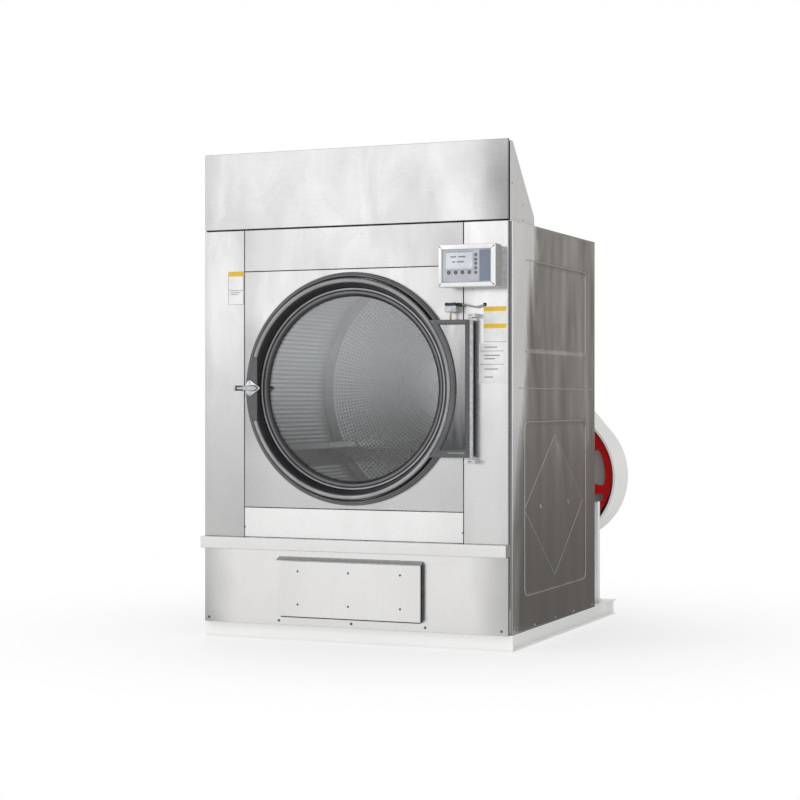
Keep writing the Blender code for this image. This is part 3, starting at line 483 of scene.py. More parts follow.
# Greys by radius for the frame ring, the door ring and the glass bead: the light bands are painted highlights, the
# dark bands painted shade.
FRAME_PAINTED_SHADING = ring_casting("frame_ring_painted_shading",
                           ((0.500, 0.03), (0.5045, 0.03), (0.5060, 0.12), (0.5150, 0.15),
                            (0.5160, 0.03), (0.5178, 0.03), (0.5188, 0.20), (0.5235, 0.11),
                            (0.5280, 0.09)))
DOOR_PAINTED_SHADING = ring_casting("door_ring_painted_shading", ((0.470, 0.02), (0.4775, 0.03), (0.4795, 0.16), (0.4850, 0.40),
                                              (0.4960, 0.34), (0.4985, 0.05), (0.5020, 0.02)))
BEAD_PAINTED_SHADING = ring_casting("bead_painted_shading", ((0.4240, 0.04), (0.4300, 0.05), (0.4325, 0.16), (0.4400, 0.22),
                                         (0.4425, 0.03), (0.4450, 0.02), (0.4468, 0.10), (0.4530, 0.52),
                                         (0.4590, 0.30)), 0.18)
FLANGE_GREY = painted("flange_grey", (0.27, 0.27, 0.275), 0.30)
# The side beads' steel is partly diffuse, so that they come out as light lines: painted highlights along the
# pressings.
BEAD_STEEL = brushed_steel("bead_steel", (0.62, 0.61, 0.60), 0.30, ALONG_Z, metallic=0.85)
# The hood's steel is half diffuse, so that it comes out lighter than the other sheets: painted light.
HOOD_STEEL = brushed_steel("hood_steel", (0.80, 0.80, 0.80), 0.34, ALONG_X, metallic=0.5)
LCD_GLASS = moulded("lcd_glass", (0.62, 0.66, 0.70), 0.10, 900.0, 0.00001)
DARK_FILM = moulded("dark_film", (0.17, 0.20, 0.26), 0.16, 900.0, 0.00001)
LABEL_WHITE = moulded("label_white", (0.80, 0.80, 0.79), 0.35, 900.0, 0.00001)
LABEL_YELLOW = moulded("label_yellow", (0.78, 0.50, 0.02), 0.35, 900.0, 0.00001)
LABEL_GREY = moulded("label_grey", (0.20, 0.20, 0.21), 0.35, 900.0, 0.00001)
SLOT_OF = {row["node"]: row["material_slot"] for row in frame["record"]["subparts"]}


def dress(obj, material):
    """Give an object one material."""
    obj.data.materials.clear()
    obj.data.materials.append(material)


# ---------------------------------------------------------------- mesh building

def spot(x, depth, z):
    """A point, with its depth counted from the front panels."""
    return Vector((x, FRONT + depth, z))


def arc(centre, radius, start, end, steps):
    """Points on an arc, both ends included; angles in radians."""
    points = []
    for index in range(steps + 1):
        angle = start + (end - start) * index / steps
        points.append((centre[0] + radius * math.cos(angle), centre[1] + radius * math.sin(angle)))
    return points


def circle(centre, radius, steps=96):
    """Points round a circle."""
    return arc(centre, radius, 0.0, math.tau, steps)[:-1]


def rectangle(x, z, corner=0.0):
    """A rectangle between two spans, with rounded corners if asked."""
    points = [(x[0], z[0]), (x[1], z[0]), (x[1], z[1]), (x[0], z[1])]
    return fillet(points, corner, 4) if corner else points


def shrunk(points, amount):
    """The same outline drawn inward by an amount, about its own middle."""
    across = [point[0] for point in points]
    up = [point[1] for point in points]
    centre = (middle((min(across), max(across))), middle((min(up), max(up))))
    wide = 1 - 2 * amount / (max(across) - min(across))
    tall = 1 - 2 * amount / (max(up) - min(up))
    return [(centre[0] + (x - centre[0]) * wide, centre[1] + (z - centre[1]) * tall) for x, z in points]


def wrap(centre_a, radius_a, centre_b, radius_b, steps=64):
    """The loop drawn tight round two circles."""
    across = centre_b[0] - centre_a[0]
    up = centre_b[1] - centre_a[1]
    heading = math.atan2(up, across)
    lean = math.acos((radius_a - radius_b) / math.hypot(across, up))
    far = arc(centre_a, radius_a, heading + lean, heading + math.tau - lean, steps)
    near = arc(centre_b, radius_b, heading - lean, heading + lean, steps)
    return far + near


def fillet(points, radius, steps=3, closed=True):
    """Round the corners of an outline or a profile, each as one smooth curve."""
    count = len(points)
    rounded = []
    for index, point in enumerate(points):
        here = Vector(point)
        before = Vector(points[index - 1]) - here
        after = Vector(points[(index + 1) % count]) - here
        if not closed and index in (0, count - 1):
            rounded.append(tuple(here))
            continue
        half = before.angle(after) / 2
        run = min(radius / math.tan(half), before.length * 0.49, after.length * 0.49)
        if run < 0.00002:
            rounded.append(tuple(here))
            continue
        start = here + before.normalized() * run
        stop = here + after.normalized() * run
        for step in range(steps + 1):
            t = step / steps
            rounded.append(tuple(start.lerp(here, t).lerp(here.lerp(stop, t), t)))
    return rounded


def block(x, depth, z, edge=0.0015, steps=2):
    """A box between pairs of x, depth and z, with rounded edges."""
    bm = bmesh.new()
    bmesh.ops.create_cube(bm, size=1.0)
    bmesh.ops.scale(bm, vec=(x[1] - x[0], depth[1] - depth[0], z[1] - z[0]), verts=bm.verts)
    bmesh.ops.translate(bm, vec=spot(middle(x), middle(depth), middle(z)), verts=bm.verts)
    if edge:
        bmesh.ops.bevel(bm, geom=bm.edges[:], offset=edge, offset_type="OFFSET", segments=steps, profile=0.5,
                        affect="EDGES", clamp_overlap=True)
    return bm


def lathe(profile, centre, axis="Y", steps=96, closed=False):
    """Turn (radius, along) points round an axis through centre; along counts from centre."""
    bm = bmesh.new()
    unit = UNIT[axis]
    out = UNIT["Z"] if axis == "X" else UNIT["X"]
    origin = Vector(centre)
    verts = [bm.verts.new(origin + out * radius + unit * along) for radius, along in profile]
    edges = [bm.edges.new(pair) for pair in zip(verts, verts[1:])]
    if closed:
        edges.append(bm.edges.new((verts[-1], verts[0])))
    bmesh.ops.spin(bm, geom=verts + edges, cent=origin, axis=unit, angle=math.tau, steps=steps,
                   use_merge=True, use_duplicate=False)
    bmesh.ops.remove_doubles(bm, verts=bm.verts, dist=0.000001)
    bmesh.ops.recalc_face_normals(bm, faces=bm.faces)
    return bm


def rod(radius, along, centre, axis="Y", edge=0.001, steps=32):
    """A round bar with rounded ends; centre lies on its axis."""
    low, high = along
    edge = min(edge, radius * 0.5, (high - low) * 0.3)
    soft = edge * 0.3
    profile = [(0, low), (radius - edge, low), (radius - soft, low + soft), (radius, low + edge),
               (radius, high - edge), (radius - soft, high - soft), (radius - edge, high), (0, high)]
    return lathe(profile, centre, axis, steps)


def plate(outlines, along, axis="Y", edge=0.0012, steps=2):
    """A flat outline with holes, made solid along an axis, with rounded edges."""
    curve = bpy.data.curves.new("outline", "CURVE")
    curve.dimensions = "2D"
    curve.fill_mode = "BOTH"
    edge = min(edge, (along[1] - along[0]) * 0.48)
    curve.extrude = (along[1] - along[0]) / 2 - edge
    curve.bevel_depth = edge
    curve.bevel_resolution = steps
    curve.offset = -edge
    for outline in outlines:
        spline = curve.splines.new("POLY")
        spline.points.add(len(outline) - 1)
        for point, (across, up) in zip(spline.points, outline):
            point.co = (across, up, 0.0, 1.0)
        spline.use_cyclic_u = True
    drawn = bpy.data.objects.new("outline", curve)
    bpy.context.scene.collection.objects.link(drawn)
    places = {
        "X": (middle(along), FRONT, 0.0),
        "Y": (0.0, FRONT + middle(along), 0.0),
        "Z": (0.0, FRONT, middle(along)),
    }
    mesh = bpy.data.meshes.new_from_object(drawn.evaluated_get(bpy.context.evaluated_depsgraph_get()))
    bm = bmesh.new()
    bm.from_mesh(mesh)
    bmesh.ops.transform(bm, matrix=Matrix.Translation(places[axis]) @ AXES[axis], verts=bm.verts)
    bmesh.ops.remove_doubles(bm, verts=bm.verts, dist=0.00001)
    bmesh.ops.recalc_face_normals(bm, faces=bm.faces)
    bpy.data.meshes.remove(mesh)
    bpy.data.objects.remove(drawn)
    return bm


def spun(bm, centre, angle, axis="Y"):
    """Turn a form about an axis through a point."""
    bmesh.ops.rotate(bm, cent=Vector(centre), matrix=Matrix.Rotation(angle, 3, axis), verts=bm.verts)
    return bm


def joined(*forms):
    """Several forms as one."""
    total = bmesh.new()
    for form in forms:
        mesh = bpy.data.meshes.new("form")
        form.to_mesh(mesh)
        form.free()
        total.from_mesh(mesh)
        bpy.data.meshes.remove(mesh)
    return total


def piece(name, form, slot, body="cabinet", stands_for=(), material=None, sharp=50.0):
    """Make a form a piece of the machine: its finish, the body it moves with and the node it stands for."""
    mesh = bpy.data.meshes.new(name)
    form.to_mesh(mesh)
    form.free()
    mesh.shade_smooth()
    mesh.set_sharp_from_angle(angle=math.radians(sharp))
    obj = bpy.data.objects.new(name, mesh)
    bpy.context.scene.collection.objects.link(obj)
    dress(obj, material or LOOKS[slot])
    normals = obj.modifiers.new("normals", "WEIGHTED_NORMAL")
    normals.keep_sharp = True
    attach(obj, body)
    if stands_for:
        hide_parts(*stands_for)
    return obj


def heads(points, axis, outward, radius=0.0045, height=0.003, steps=14):
    """Pan-head screws with a socket, seated at points and facing along an axis."""
    forms = []
    for point in points:
        profile = [(radius, 0.0), (radius, height * 0.5), (radius * 0.82, height * 0.88),
                   (radius * 0.45, height),
                   (radius * 0.42, height * 0.45), (0.0, height * 0.45)]
        forms.append(lathe([(r, outward * along) for r, along in profile], point, axis, steps))
    return joined(*forms)


def soften(name, width=0.0012, segments=2):
    """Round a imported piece's edges, and shade it smooth, with modifiers only."""
    obj = NODES[name]
    weld = obj.modifiers.new("weld", "WELD")
    weld.merge_threshold = 0.00002
    flat = obj.modifiers.new("flat", "DECIMATE")
    flat.decimate_type = "DISSOLVE"
    flat.angle_limit = math.radians(1.0)
    edge = obj.modifiers.new("edge", "BEVEL")
    edge.width = width
    edge.segments = segments
    edge.limit_method = "ANGLE"
    edge.angle_limit = math.radians(35.0)
    normals = obj.modifiers.new("normals", "WEIGHTED_NORMAL")
    normals.keep_sharp = True


# ---------------------------------------------------------------- studio

def studio():
    """White floor that fades into the backdrop, and four soft boxes that mirrors don't see."""
    bpy.context.scene.view_settings.view_transform = "Standard"
    bpy.ops.mesh.primitive_plane_add(size=80.0, location=(0.0, 0.0, -0.0005))
    floor = bpy.context.object
    floor.name = "studio_floor"
    look = Look("studio_floor", (0.93, 0.93, 0.93), 0.7)
    look.colour(look.mix(look.noise((3.0, 3.0, 3.0), detail=3.0), (0.93, 0.93, 0.93), (0.95, 0.95, 0.95)))
    x, y, _ = look.axes()
    far = look.length(x, y)
    path = look.new("LightPath")
    white = look.new("Emission")
    seen = look.new("MixShader")
    look.feed(seen.inputs["Fac"], look.spread(far, 0.62, 1.0, 1.0, 2.8, "SMOOTHSTEP"))
    look.feed(seen.inputs[1], look.shader.outputs["BSDF"])
    look.feed(seen.inputs[2], white.outputs["Emission"])
    behind = look.spread(y, 0.0, 1.0, -1.6, 0.2, "SMOOTHSTEP")
    mirrored = look.new("Emission")
    near = look.mix(look.spread(y, 0.0, 1.0, -15.0, -6.0, "SMOOTHSTEP"), (0.55, 0.54, 0.54),
                    (0.86, 0.86, 0.86))
    look.feed(mirrored.inputs["Color"], look.mix(behind, near, (0.24, 0.23, 0.22)))
    either = look.new("MixShader")
    look.feed(either.inputs["Fac"], path.outputs["Is Glossy Ray"])
    look.feed(either.inputs[1], seen.outputs["Shader"])
    look.feed(either.inputs[2], mirrored.outputs["Emission"])
    look.feed(look.tree.nodes["Material Output"].inputs["Surface"], either.outputs["Shader"])
    dress(floor, look.material)

    for name, location, size, power, aim in (
            ("key", (-3.6, -5.4, 4.8), (3.0, 2.2), 60.0, (0.0, -0.6, 1.0)),
            ("top", (0.0, 0.6, 5.4), (4.0, 3.0), 55.0, (0.0, 0.0, 0.0)),
            ("rear", (-3.5, 5.0, 3.6), (3.0, 2.4), 60.0, (0.0, 0.4, 0.9)),
            ("flank", (2.9, -5.6, 1.0), (0.8, 0.8), 28.0, (0.6, 0.9, 0.75))):
        data = bpy.data.lights.new(name, "AREA")
        data.shape = "RECTANGLE"
        data.size, data.size_y = size
        data.energy = power
        lamp = bpy.data.objects.new(name, data)
        lamp.location = location
        lamp.visible_glossy = False
        lamp.rotation_euler = (Vector(aim) - Vector(location)).to_track_quat("-Z", "Y").to_euler()
        bpy.context.scene.collection.objects.link(lamp)


def studio_world():
    """White to the camera; mirrors see soft light in front and a dim side behind to the right."""
    world = bpy.data.worlds.new("studio")
    bpy.context.scene.world = world
    world.use_nodes = True
    build = Nodes(world.node_tree, "Generated")
    dim = build.spread(build.along((0.386, 0.922, 0.0)), 0.0, 1.0, 0.72, 0.95, "SMOOTHSTEP")
    streaks = build.spread(build.noise((9.0, 9.0, 1.6), detail=2.0), 0.0, 1.0, 0.36, 0.66)
    corner = build.mix(streaks, (0.13, 0.12, 0.11), (0.60, 0.58, 0.55))

    # A soft box straight in front, which the glass and the front sheets mirror, ending softly at eye level
    reach = math.hypot(CAMERA_RIGHT, CAMERA_BEFORE)
    facing = build.spread(build.along((-CAMERA_RIGHT / reach, -CAMERA_BEFORE / reach, 0.0)), 0.0, 1.0, 0.97,
                          0.99,
                          "SMOOTHSTEP")
    low = build.spread(build.along((0.0, 0.0, 1.0)), 1.0, 0.0, -0.03, 0.03, "SMOOTHSTEP")
    view = build.mix(low, (1.75, 1.78, 1.82), (0.55, 0.54, 0.54))
    above = build.spread(build.along((0.0, 0.0, 1.0)), 0.0, 1.0, 0.35, 0.95)
    front = build.mix(facing, build.mix(above, (0.90, 0.90, 0.90), (0.62, 0.62, 0.63)), view)
    seen = build.mix(dim, front, corner)
    path = build.new("LightPath")
    shown = build.mix(path.outputs["Is Camera Ray"], seen, (1.0, 1.0, 1.0))
    build.feed(build.tree.nodes["Background"].inputs["Color"], shown)


def camera():
    """The camera, level and turned towards the front's right corner."""
    data = bpy.data.cameras.new("camera")
    data.lens = CAMERA_LENS
    data.sensor_width = 36.0
    obj = bpy.data.objects.new("camera", data)
    obj.location = (CAMERA_RIGHT, FRONT - CAMERA_BEFORE, CAMERA_HEIGHT)
    obj.rotation_euler = (math.radians(90.0), 0.0, math.radians(CAMERA_TURN))
    bpy.context.scene.collection.objects.link(obj)
    bpy.context.scene.camera = obj


# ---------------------------------------------------------------- front panels

SEAM = 0.0014                    # how far each sheet's edge keeps back from its joint line


def front_sheet(name, node, x, z, depth, holes=(), grain=ALONG_Z, tone=1.0, ends=(0.2, 0.2), foot=0.0,
                edge=0.0014):
    """One stainless sheet of the front, with its own brushing, a tone that paints how light the sheet comes out,
    and painted shade at its ends and its foot.
    """
    steel = brushed_steel(name + "_steel", shade(STEEL, tone), 0.26, grain, field=(x, z), ends=ends,
                          foot=foot)
    form = plate([rectangle(x, z), *holes], depth, edge=edge)
    return piece(name, form, "stainless_front", stands_for=[node], material=steel)


def front_sheets():
    """Every flat sheet of the stainless front."""
    # Each sheet's tone paints how light or dark it comes out, and its ends and foot paint shade at its sides and
    # along its bottom.
    for word, tone, foot in (("left", 0.73, 0.32), ("right", 0.80, 0.10)):
        node = "front_pilaster_" + word
        x = span(node, "X")
        x = (x[0], x[1] - SEAM) if word == "left" else (x[0] + SEAM, x[1])
        low, high = span(node, "Z")
        front_sheet("pilaster_sheet_" + word, node, x, (low, high - 0.0025), span(node, "Y"), tone=tone,
                    ends=(0.10, 0.10), foot=foot, edge=0.0025)
    across = inset(span("front_door_panel", "X"), SEAM)
    low, high = inset(span("front_upper_panel", "Z"), SEAM)
    front_sheet("upper_sheet", "front_upper_panel", across, (low, high - 0.0015),
                span("front_upper_panel", "Y"),
                grain=ALONG_X, tone=0.73, ends=(0.25, 0.35))
    front_sheet("door_sheet", "front_door_panel", across, inset(span("front_door_panel", "Z"), SEAM),
                span("front_door_panel", "Y"), [circle((0, DOOR_Z), 0.470, 192)], tone=0.78,
                ends=(0.50, 0.10),
                foot=0.30)
    front_sheet("lower_sheet", "front_lower_panel", across, inset(span("front_lower_panel", "Z"), SEAM),
                span("front_lower_panel", "Y"), tone=0.96, ends=(0.12, 0.12))
    low, high = span("header_front_panel", "Z")
    front_sheet("header_fascia", "header_front_panel", span("header_front_panel", "X"), (low + 0.003, high),
                span("header_front_panel", "Y"), grain=ALONG_X, tone=0.72, ends=(0.30, 0.75), edge=0.0025)
    low, high = span("plinth_panel", "Z")
    front_sheet("plinth_sheet", "plinth_panel", span("plinth_panel", "X"), (low, high - 0.002),
                span("plinth_panel", "Y"), [rectangle((-0.328, 0.330), (0.136, 0.356), 0.004)], tone=0.89,
                ends=(0.95, 0.50), foot=0.06, edge=0.0022)
    ledge = plate([fillet([(-0.038, 0.419), (0.0247, 0.419), (0.0247, 0.473), (-0.038, 0.473)], 0.003)],
                  span("ledge_bar", "X"), "X", edge=0.002)
    # The ledge takes a darker copy of the front steel: painted shade.
    piece("ledge_rail", ledge, "stainless_front", stands_for=["ledge_bar"],
          material=brushed_steel("ledge_steel", shade(STEEL, 0.88), 0.26, ALONG_X))

    rail = [(0.0250, 0.0), (0.0250, 0.0060), (0.0285, 0.0090), (0.0285, 0.0650), (0.0250, 0.0680),
            (0.0250, 0.0745),
            (0.0650, 0.0745), (0.0650, 0.0685), (0.0335, 0.0685), (0.0335, 0.0060), (0.0650, 0.0060),
            (0.0650, 0.0)]
    piece("base_front_rail", plate([rail], span("base_channel_front", "X"), "X", edge=0.0004), "white_paint",
          stands_for=["base_channel_front"])

    piece("plinth_screws", heads([spot(x, 0.0, 0.094) for x in (-0.728, -0.364, 0.0, 0.36, 0.72)], "Y", -1,
                                 0.0060),
          "cast_iron")
    piece("pilaster_screws", heads([spot(x, 0.0, 0.520) for x in (-0.5385, 0.5385)], "Y", -1, 0.0035),
          "cast_iron")
    side = []
    for x, outward in ((0.762, 1), (-0.762, -1)):
        side += [(Vector((x, FRONT + depth, 0.090)), outward) for depth in (0.05, 0.33, 0.63, 0.92, 1.22)]
    piece("side_screws", joined(*[heads([point], "X", outward, 0.0055) for point, outward in side]),
          "galvanised")
    knobs = []
    for x, outward in ((0.758, 1), (-0.758, -1)):
        for depth in (0.42, 0.834):
            profile = [(0.013, -0.004), (0.013, 0.002), (0.0115, 0.0038), (0.006, 0.0045), (0.005, 0.0030),
                       (0, 0.0030)]
            knobs.append(lathe([(r, outward * t) for r, t in profile], (x, FRONT + depth, 0.619), "X", 28))
    piece("side_plugs", joined(*knobs), "chrome")
    # The corner flanges take flat grey paint instead of stainless: painted shade for the dark strip at the front
    # corners.
    for word, side in (("left", -1), ("right", 1)):
        across = sorted((side * 0.7506, side * 0.7616))
        flange = block(across, (0.0255, 0.0285), (0.0752, 1.8936), 0.0008)
        piece("side_flange_" + word, flange, "stainless_side", material=FLANGE_GREY)


def lint_cover():
    """The lint drawer's front: a pan on a black seal, a sloping top strip and six rivets."""
    x = (-0.348, 0.350)
    # The cover's steel is darker than the plain steel and darkens towards its ends: painted shade.
    steel = brushed_steel("cover_steel", shade(STEEL, 0.90), 0.26, ALONG_Z, field=(x, (0.119, 0.372)),
                          ends=(0.12, 0.05))
    strip = plate([[(-0.036, 0.3725), (-0.031, 0.3725), (-0.001, 0.3860), (-0.001, 0.389), (-0.004, 0.389),
                    (-0.036, 0.3745)]], (-0.362, 0.350), "X", edge=0.0006)
    pan = plate([rectangle(x, (0.119, 0.3715))], (-0.036, -0.0285), edge=0.002)
    piece("lint_cover_pan", pan, "stainless_front", "lint_drawer", ["lint_drawer_front"], steel)
    # The sloping strip takes a much darker steel than the pan: painted shade on its slope.
    piece("lint_cover_strip", strip, "stainless_front", "lint_drawer",
          material=brushed_steel("strip_steel", (0.66, 0.66, 0.66), 0.30, ALONG_X))
    seal = plate([rectangle((-0.341, 0.343), (0.1135, 0.366)), rectangle((-0.322, 0.324), (0.139, 0.352))],
                 (-0.0290, -0.0012), edge=0.003)
    piece("lint_cover_seal", seal, "rubber", "lint_drawer")
    points = [spot(px, -0.036, pz) for px in (-0.252, 0.0, 0.254) for pz in (0.326, 0.175)]
    piece("lint_cover_rivets", heads(points, "Y", -1, 0.0050, 0.0022), "cast_iron", "lint_drawer")


def side_sheets():
    """Side sheets with two pressed fields, a fold line and a cross-broken lower field."""
    fields = (((0.183, 1.116), (1.320, 1.735), 0.040), ((0.190, 1.116), (0.2285, 1.010), 0.040))
    apex = (0.6365, 0.617)
    half = (0.4415, 0.330)

    def pressed(depth, z):
        """How far the sheet goes in at a place."""
        deep = 0.0
        for across, up, corner in fields:
            qx = abs(depth - middle(across)) - (across[1] - across[0]) / 2 + corner
            qz = abs(z - middle(up)) - (up[1] - up[0]) / 2 + corner
            away = math.hypot(max(qx, 0.0), max(qz, 0.0)) + min(max(qx, qz), 0.0) - corner
            t = min(max(-away / 0.015, 0.0), 1.0)
            deep += 0.004 * t * t * (3 - 2 * t)
        lean = abs(depth - apex[0]) / half[0] + abs(z - apex[1]) / half[1]
        deep -= 0.0060 * max(0.0, 1.0 - lean)
        return deep

    def beads(side, face):
        """Thin rolled beads along the edges of the pressed fields, the fold line and the cross-break."""
        forms = []
        out = sorted((side * (face - 0.0012), side * (face + 0.0012)))
        for across, up, corner in fields:
            loop = rectangle(across, up, corner)
            forms.append(plate([loop, shrunk(loop, 0.0036)], out, "X", edge=0.0009))
        corners = [(apex[0], apex[1] - half[1]), (apex[0] + half[0], apex[1]), (apex[0], apex[1] + half[1]),
                   (apex[0] - half[0], apex[1])]
        sunk = sorted((side * (face - 0.0054), side * (face - 0.0030)))
        forms.append(plate([corners, shrunk(corners, 0.0036)], sunk, "X", edge=0.0009))
        forms.append(plate([rectangle((0.10, 1.21), (1.1572, 1.1608))], out, "X", edge=0.0009))
        return joined(*forms)

    for word, side in (("left", -1), ("right", 1)):
        node = "side_panel_" + word
        depth = span(node, "Y")
        height = span(node, "Z")
        face = max(abs(value) for value in span(node, "X"))
        columns = 140
        rows = 204
        bm = bmesh.new()
        bmesh.ops.create_grid(bm, x_segments=columns, y_segments=rows, size=0.5)
        for vert in bm.verts:
            back = depth[0] + (vert.co.x + 0.5) * (depth[1] - depth[0])
            z = height[0] + (vert.co.y + 0.5) * (height[1] - height[0])
            vert.co = (side * (face - pressed(back, z)), FRONT + back, z)
        if side < 0:
            bmesh.ops.reverse_faces(bm, faces=bm.faces)
        sheet = piece("side_sheet_" + word, bm, "stainless_side", stands_for=[node])
        sheet.modifiers.clear()
        thick = sheet.modifiers.new("sheet", "SOLIDIFY")
        thick.thickness = 0.003
        thick.offset = -1.0
        piece("side_beads_" + word, beads(side, face), "stainless_side", material=BEAD_STEEL)


# ---------------------------------------------------------------- door

def turned(profile, edge, steps=3):
    """A ring of the door, turned about the drum's axis, with rounded edges."""
    return lathe(fillet(profile, edge, steps), DOOR_AXIS, steps=192, closed=True)


def door_pieces():
    """Frame ring, cast door ring, cone, glass bead, seals and pull plate."""
    ring = turned([(0.5275, -0.0003), (0.5275, -0.0130), (0.5215, -0.0215), (0.5170, -0.0225),
                         (0.5160, -0.0250), (0.5090, -0.0250), (0.5035, -0.0200), (0.5035, -0.0003)], 0.0025)
    piece("frame_ring_cast", ring, "graphite", stands_for=["door_frame_ring"], material=FRAME_PAINTED_SHADING)

    cast = turned([(0.5015, -0.0105), (0.5015, -0.0350), (0.4985, -0.0375), (0.4960, -0.0430),
                         (0.4900, -0.0455), (0.4825, -0.0445), (0.4775, -0.0390), (0.4705, -0.0250),
                         (0.4705, -0.0105)], 0.0030, 4)
    piece("door_ring_cast", cast, "graphite", "door", ["door_ring"], DOOR_PAINTED_SHADING)
    cone = turned([(0.4772, -0.0385), (0.4585, 0.0015), (0.4585, 0.0315), (0.4640, 0.0320),
                   (0.4640, -0.0105),
                         (0.4700, -0.0110), (0.4735, -0.0240)], 0.0010)
    piece("door_cone", cone, "graphite", "door", material=CONE_BLACK)
    bead = turned([(0.4580, 0.0030), (0.4560, -0.0015), (0.4515, -0.0025), (0.4470, 0.0000),
                   (0.4460, 0.0040),
                         (0.4440, 0.0045), (0.4430, 0.0010), (0.4370, -0.0005), (0.4300, 0.0040),
                   (0.4240, 0.0100),
                         (0.4240, 0.0178), (0.4580, 0.0178)], 0.0016)
    piece("glass_bead", bead, "graphite", "door", material=BEAD_PAINTED_SHADING)
    seal = turned([(0.4238, 0.0095), (0.4205, 0.0110), (0.4190, 0.0145), (0.4200, 0.0180), (0.4238, 0.0180)],
                  0.0010)
    piece("glass_seal", seal, "rubber", "door")
    lip = turned([(0.498, -0.0100), (0.476, -0.0100), (0.478, -0.0050), (0.4835, -0.0012), (0.4905, -0.0012),
                        (0.496, -0.0050)], 0.0012)
    piece("door_lip_seal", lip, "rubber", "door", ["door_gasket"])

    chord = 0.452
    rim = 0.4735
    reach = math.acos(chord / rim)
    outline = arc((0, DOOR_Z), 0.4965, math.pi - reach * 1.02, math.pi + reach * 1.02, 40)
    outline = outline + [(-chord, DOOR_Z - 0.140), (-chord, DOOR_Z + 0.140)]
    grip = plate([fillet(outline, 0.003)], (-0.0495, -0.0420), edge=0.0018)
    piece("pull_plate", grip, "graphite", "door", ["door_pull_plate"],
          graphite_casting("pull_grey", (0.10, 0.102, 0.107), 0.32))


def hinge_plate():
    """Cast hinge plate: arched edge, raised rim, sunk field, ribs and the pin barrel."""
    low, high = span("door_hinge_plate", "Z")
    radius = 0.5025
    centre = (0, DOOR_Z)
    start = math.asin((high - DOOR_Z) / radius)
    end = math.asin((low - DOOR_Z) / radius)
    edge_x = HINGE_X - 0.006
    outline = arc(centre, radius, start, end, 48) + [(edge_x, low), (edge_x, high)]
    field_r = 0.526
    top = 1.441 - DOOR_Z
    foot = 0.886 - DOOR_Z
    field = arc(centre, field_r, math.asin(top / field_r), math.asin(foot / field_r), 40)
    field = fillet(field + [(0.573, 0.886), (0.573, 1.441)], 0.004)
    base = plate([outline], (-0.0505, -0.0268), edge=0.002)
    rim = plate([outline, field], (-0.0580, -0.0495), edge=0.0022)
    arch_out = arc(centre, 0.5215, math.asin(top / 0.5215) + 0.02, math.asin(foot / 0.5215) - 0.02, 40)
    arch_in = arc(centre, 0.5125, math.asin(foot / 0.5125) - 0.02, math.asin(top / 0.5125) + 0.02, 40)
    arch = plate([arch_out + arch_in], (-0.0600, -0.0570), edge=0.0014)
    ribs = [rod(r, (low + 0.004, high - 0.004), (x, FRONT + d, 0), "Z", 0.002, 20)
            for x, d, r in ((0.5775, -0.0575, 0.0028), (0.5855, -0.0565, 0.0032))]
    tube = fillet([(0.0056, low), (0.0095, low), (0.0095, high), (0.0056, high)], 0.0008)
    barrel = lathe(tube, (HINGE_X, FRONT + HINGE_Y, 0), "Z", 40, closed=True)
    piece("hinge_plate_cast", joined(base, rim, arch, *ribs), "graphite", "door", ["door_hinge_plate"])
    piece("hinge_barrel", barrel, "galvanised", "door")
    strips = [block((HINGE_X - 0.0052, HINGE_X - 0.0028), depth, (low + 0.001, high - 0.001), 0.0006)
              for depth in ((-0.0560, -0.0512), (-0.0388, -0.0272))]
    piece("hinge_leaf", joined(*strips), "galvanised", "door", material=FLANGE_GREY)

    inner_r = field_r + 0.004
    inner = arc(centre, inner_r, math.asin((top - 0.004) / inner_r), math.asin((foot + 0.004) / inner_r), 40)
    panel = plate([fillet(inner + [(0.5695, 0.890), (0.5695, 1.437)], 0.003)], (-0.0520, -0.0500),
                  edge=0.0008)
    piece("hinge_plate_field", panel, "graphite", "door", material=FIELD_GREY)
    sill = plate([[(0.489, 0.8715), (0.566, 0.8715), (0.566, 0.8760), (0.489, 0.8760)]], (-0.0592, -0.0570),
                 edge=0.001)
    piece("hinge_plate_sill", sill, "graphite", "door", material=BEAD_GREY)


def latch_pieces():
    """The chromed latch casting, its sprung plunger and the keeper."""
    z = 1.161
    depth = -0.064
    outline = [(-0.512, z - 0.012), (-0.496, z - 0.034), (-0.482, z - 0.036), (-0.462, z - 0.022),
               (-0.436, z - 0.004),
               (-0.436, z + 0.004), (-0.462, z + 0.022), (-0.482, z + 0.036), (-0.496, z + 0.034),
               (-0.512, z + 0.012)]
    foot = plate([fillet(outline, 0.006, 4)], (-0.0560, -0.0496), edge=0.0025, steps=3)
    barrel = lathe([(0.0062, -0.514), (0.0105, -0.514), (0.0118, -0.511), (0.0118, -0.503), (0.0105, -0.501),
                    (0.0125, -0.496), (0.0150, -0.486), (0.0158, -0.476), (0.0140, -0.462), (0.0095, -0.452),
                    (0.0040, -0.447), (0.0, -0.446), (0.0, -0.468), (0.0062, -0.468)],
                   (0, FRONT + depth, z), "X", 40)
    pads = heads([spot(-0.487, -0.056, z + side * 0.026) for side in (-1, 1)], "Y", -1, 0.0052, 0.003, 20)
    piece("latch_casting", joined(foot, barrel, pads), "chrome", "door", ["latch_body"])
    pin = lathe(fillet([(0.0, -0.548), (0.0045, -0.548), (0.0055, -0.545), (0.0055, -0.520),
                        (0.0048, -0.519),
                        (0.0055, -0.518), (0.0055, -0.482), (0.0, -0.482)], 0.0005, 2, False),
                (0, FRONT + depth, z), "X", 28)
    piece("latch_pin", pin, "chrome", "latch", ["latch_plunger"])
    x = span("latch_keeper", "X")
    keeper = block(x, (-0.074, -0.0003), (z - 0.0125, z + 0.0125), 0.002, 3)
    piece("keeper_block", keeper, "galvanised", stands_for=["latch_keeper"])


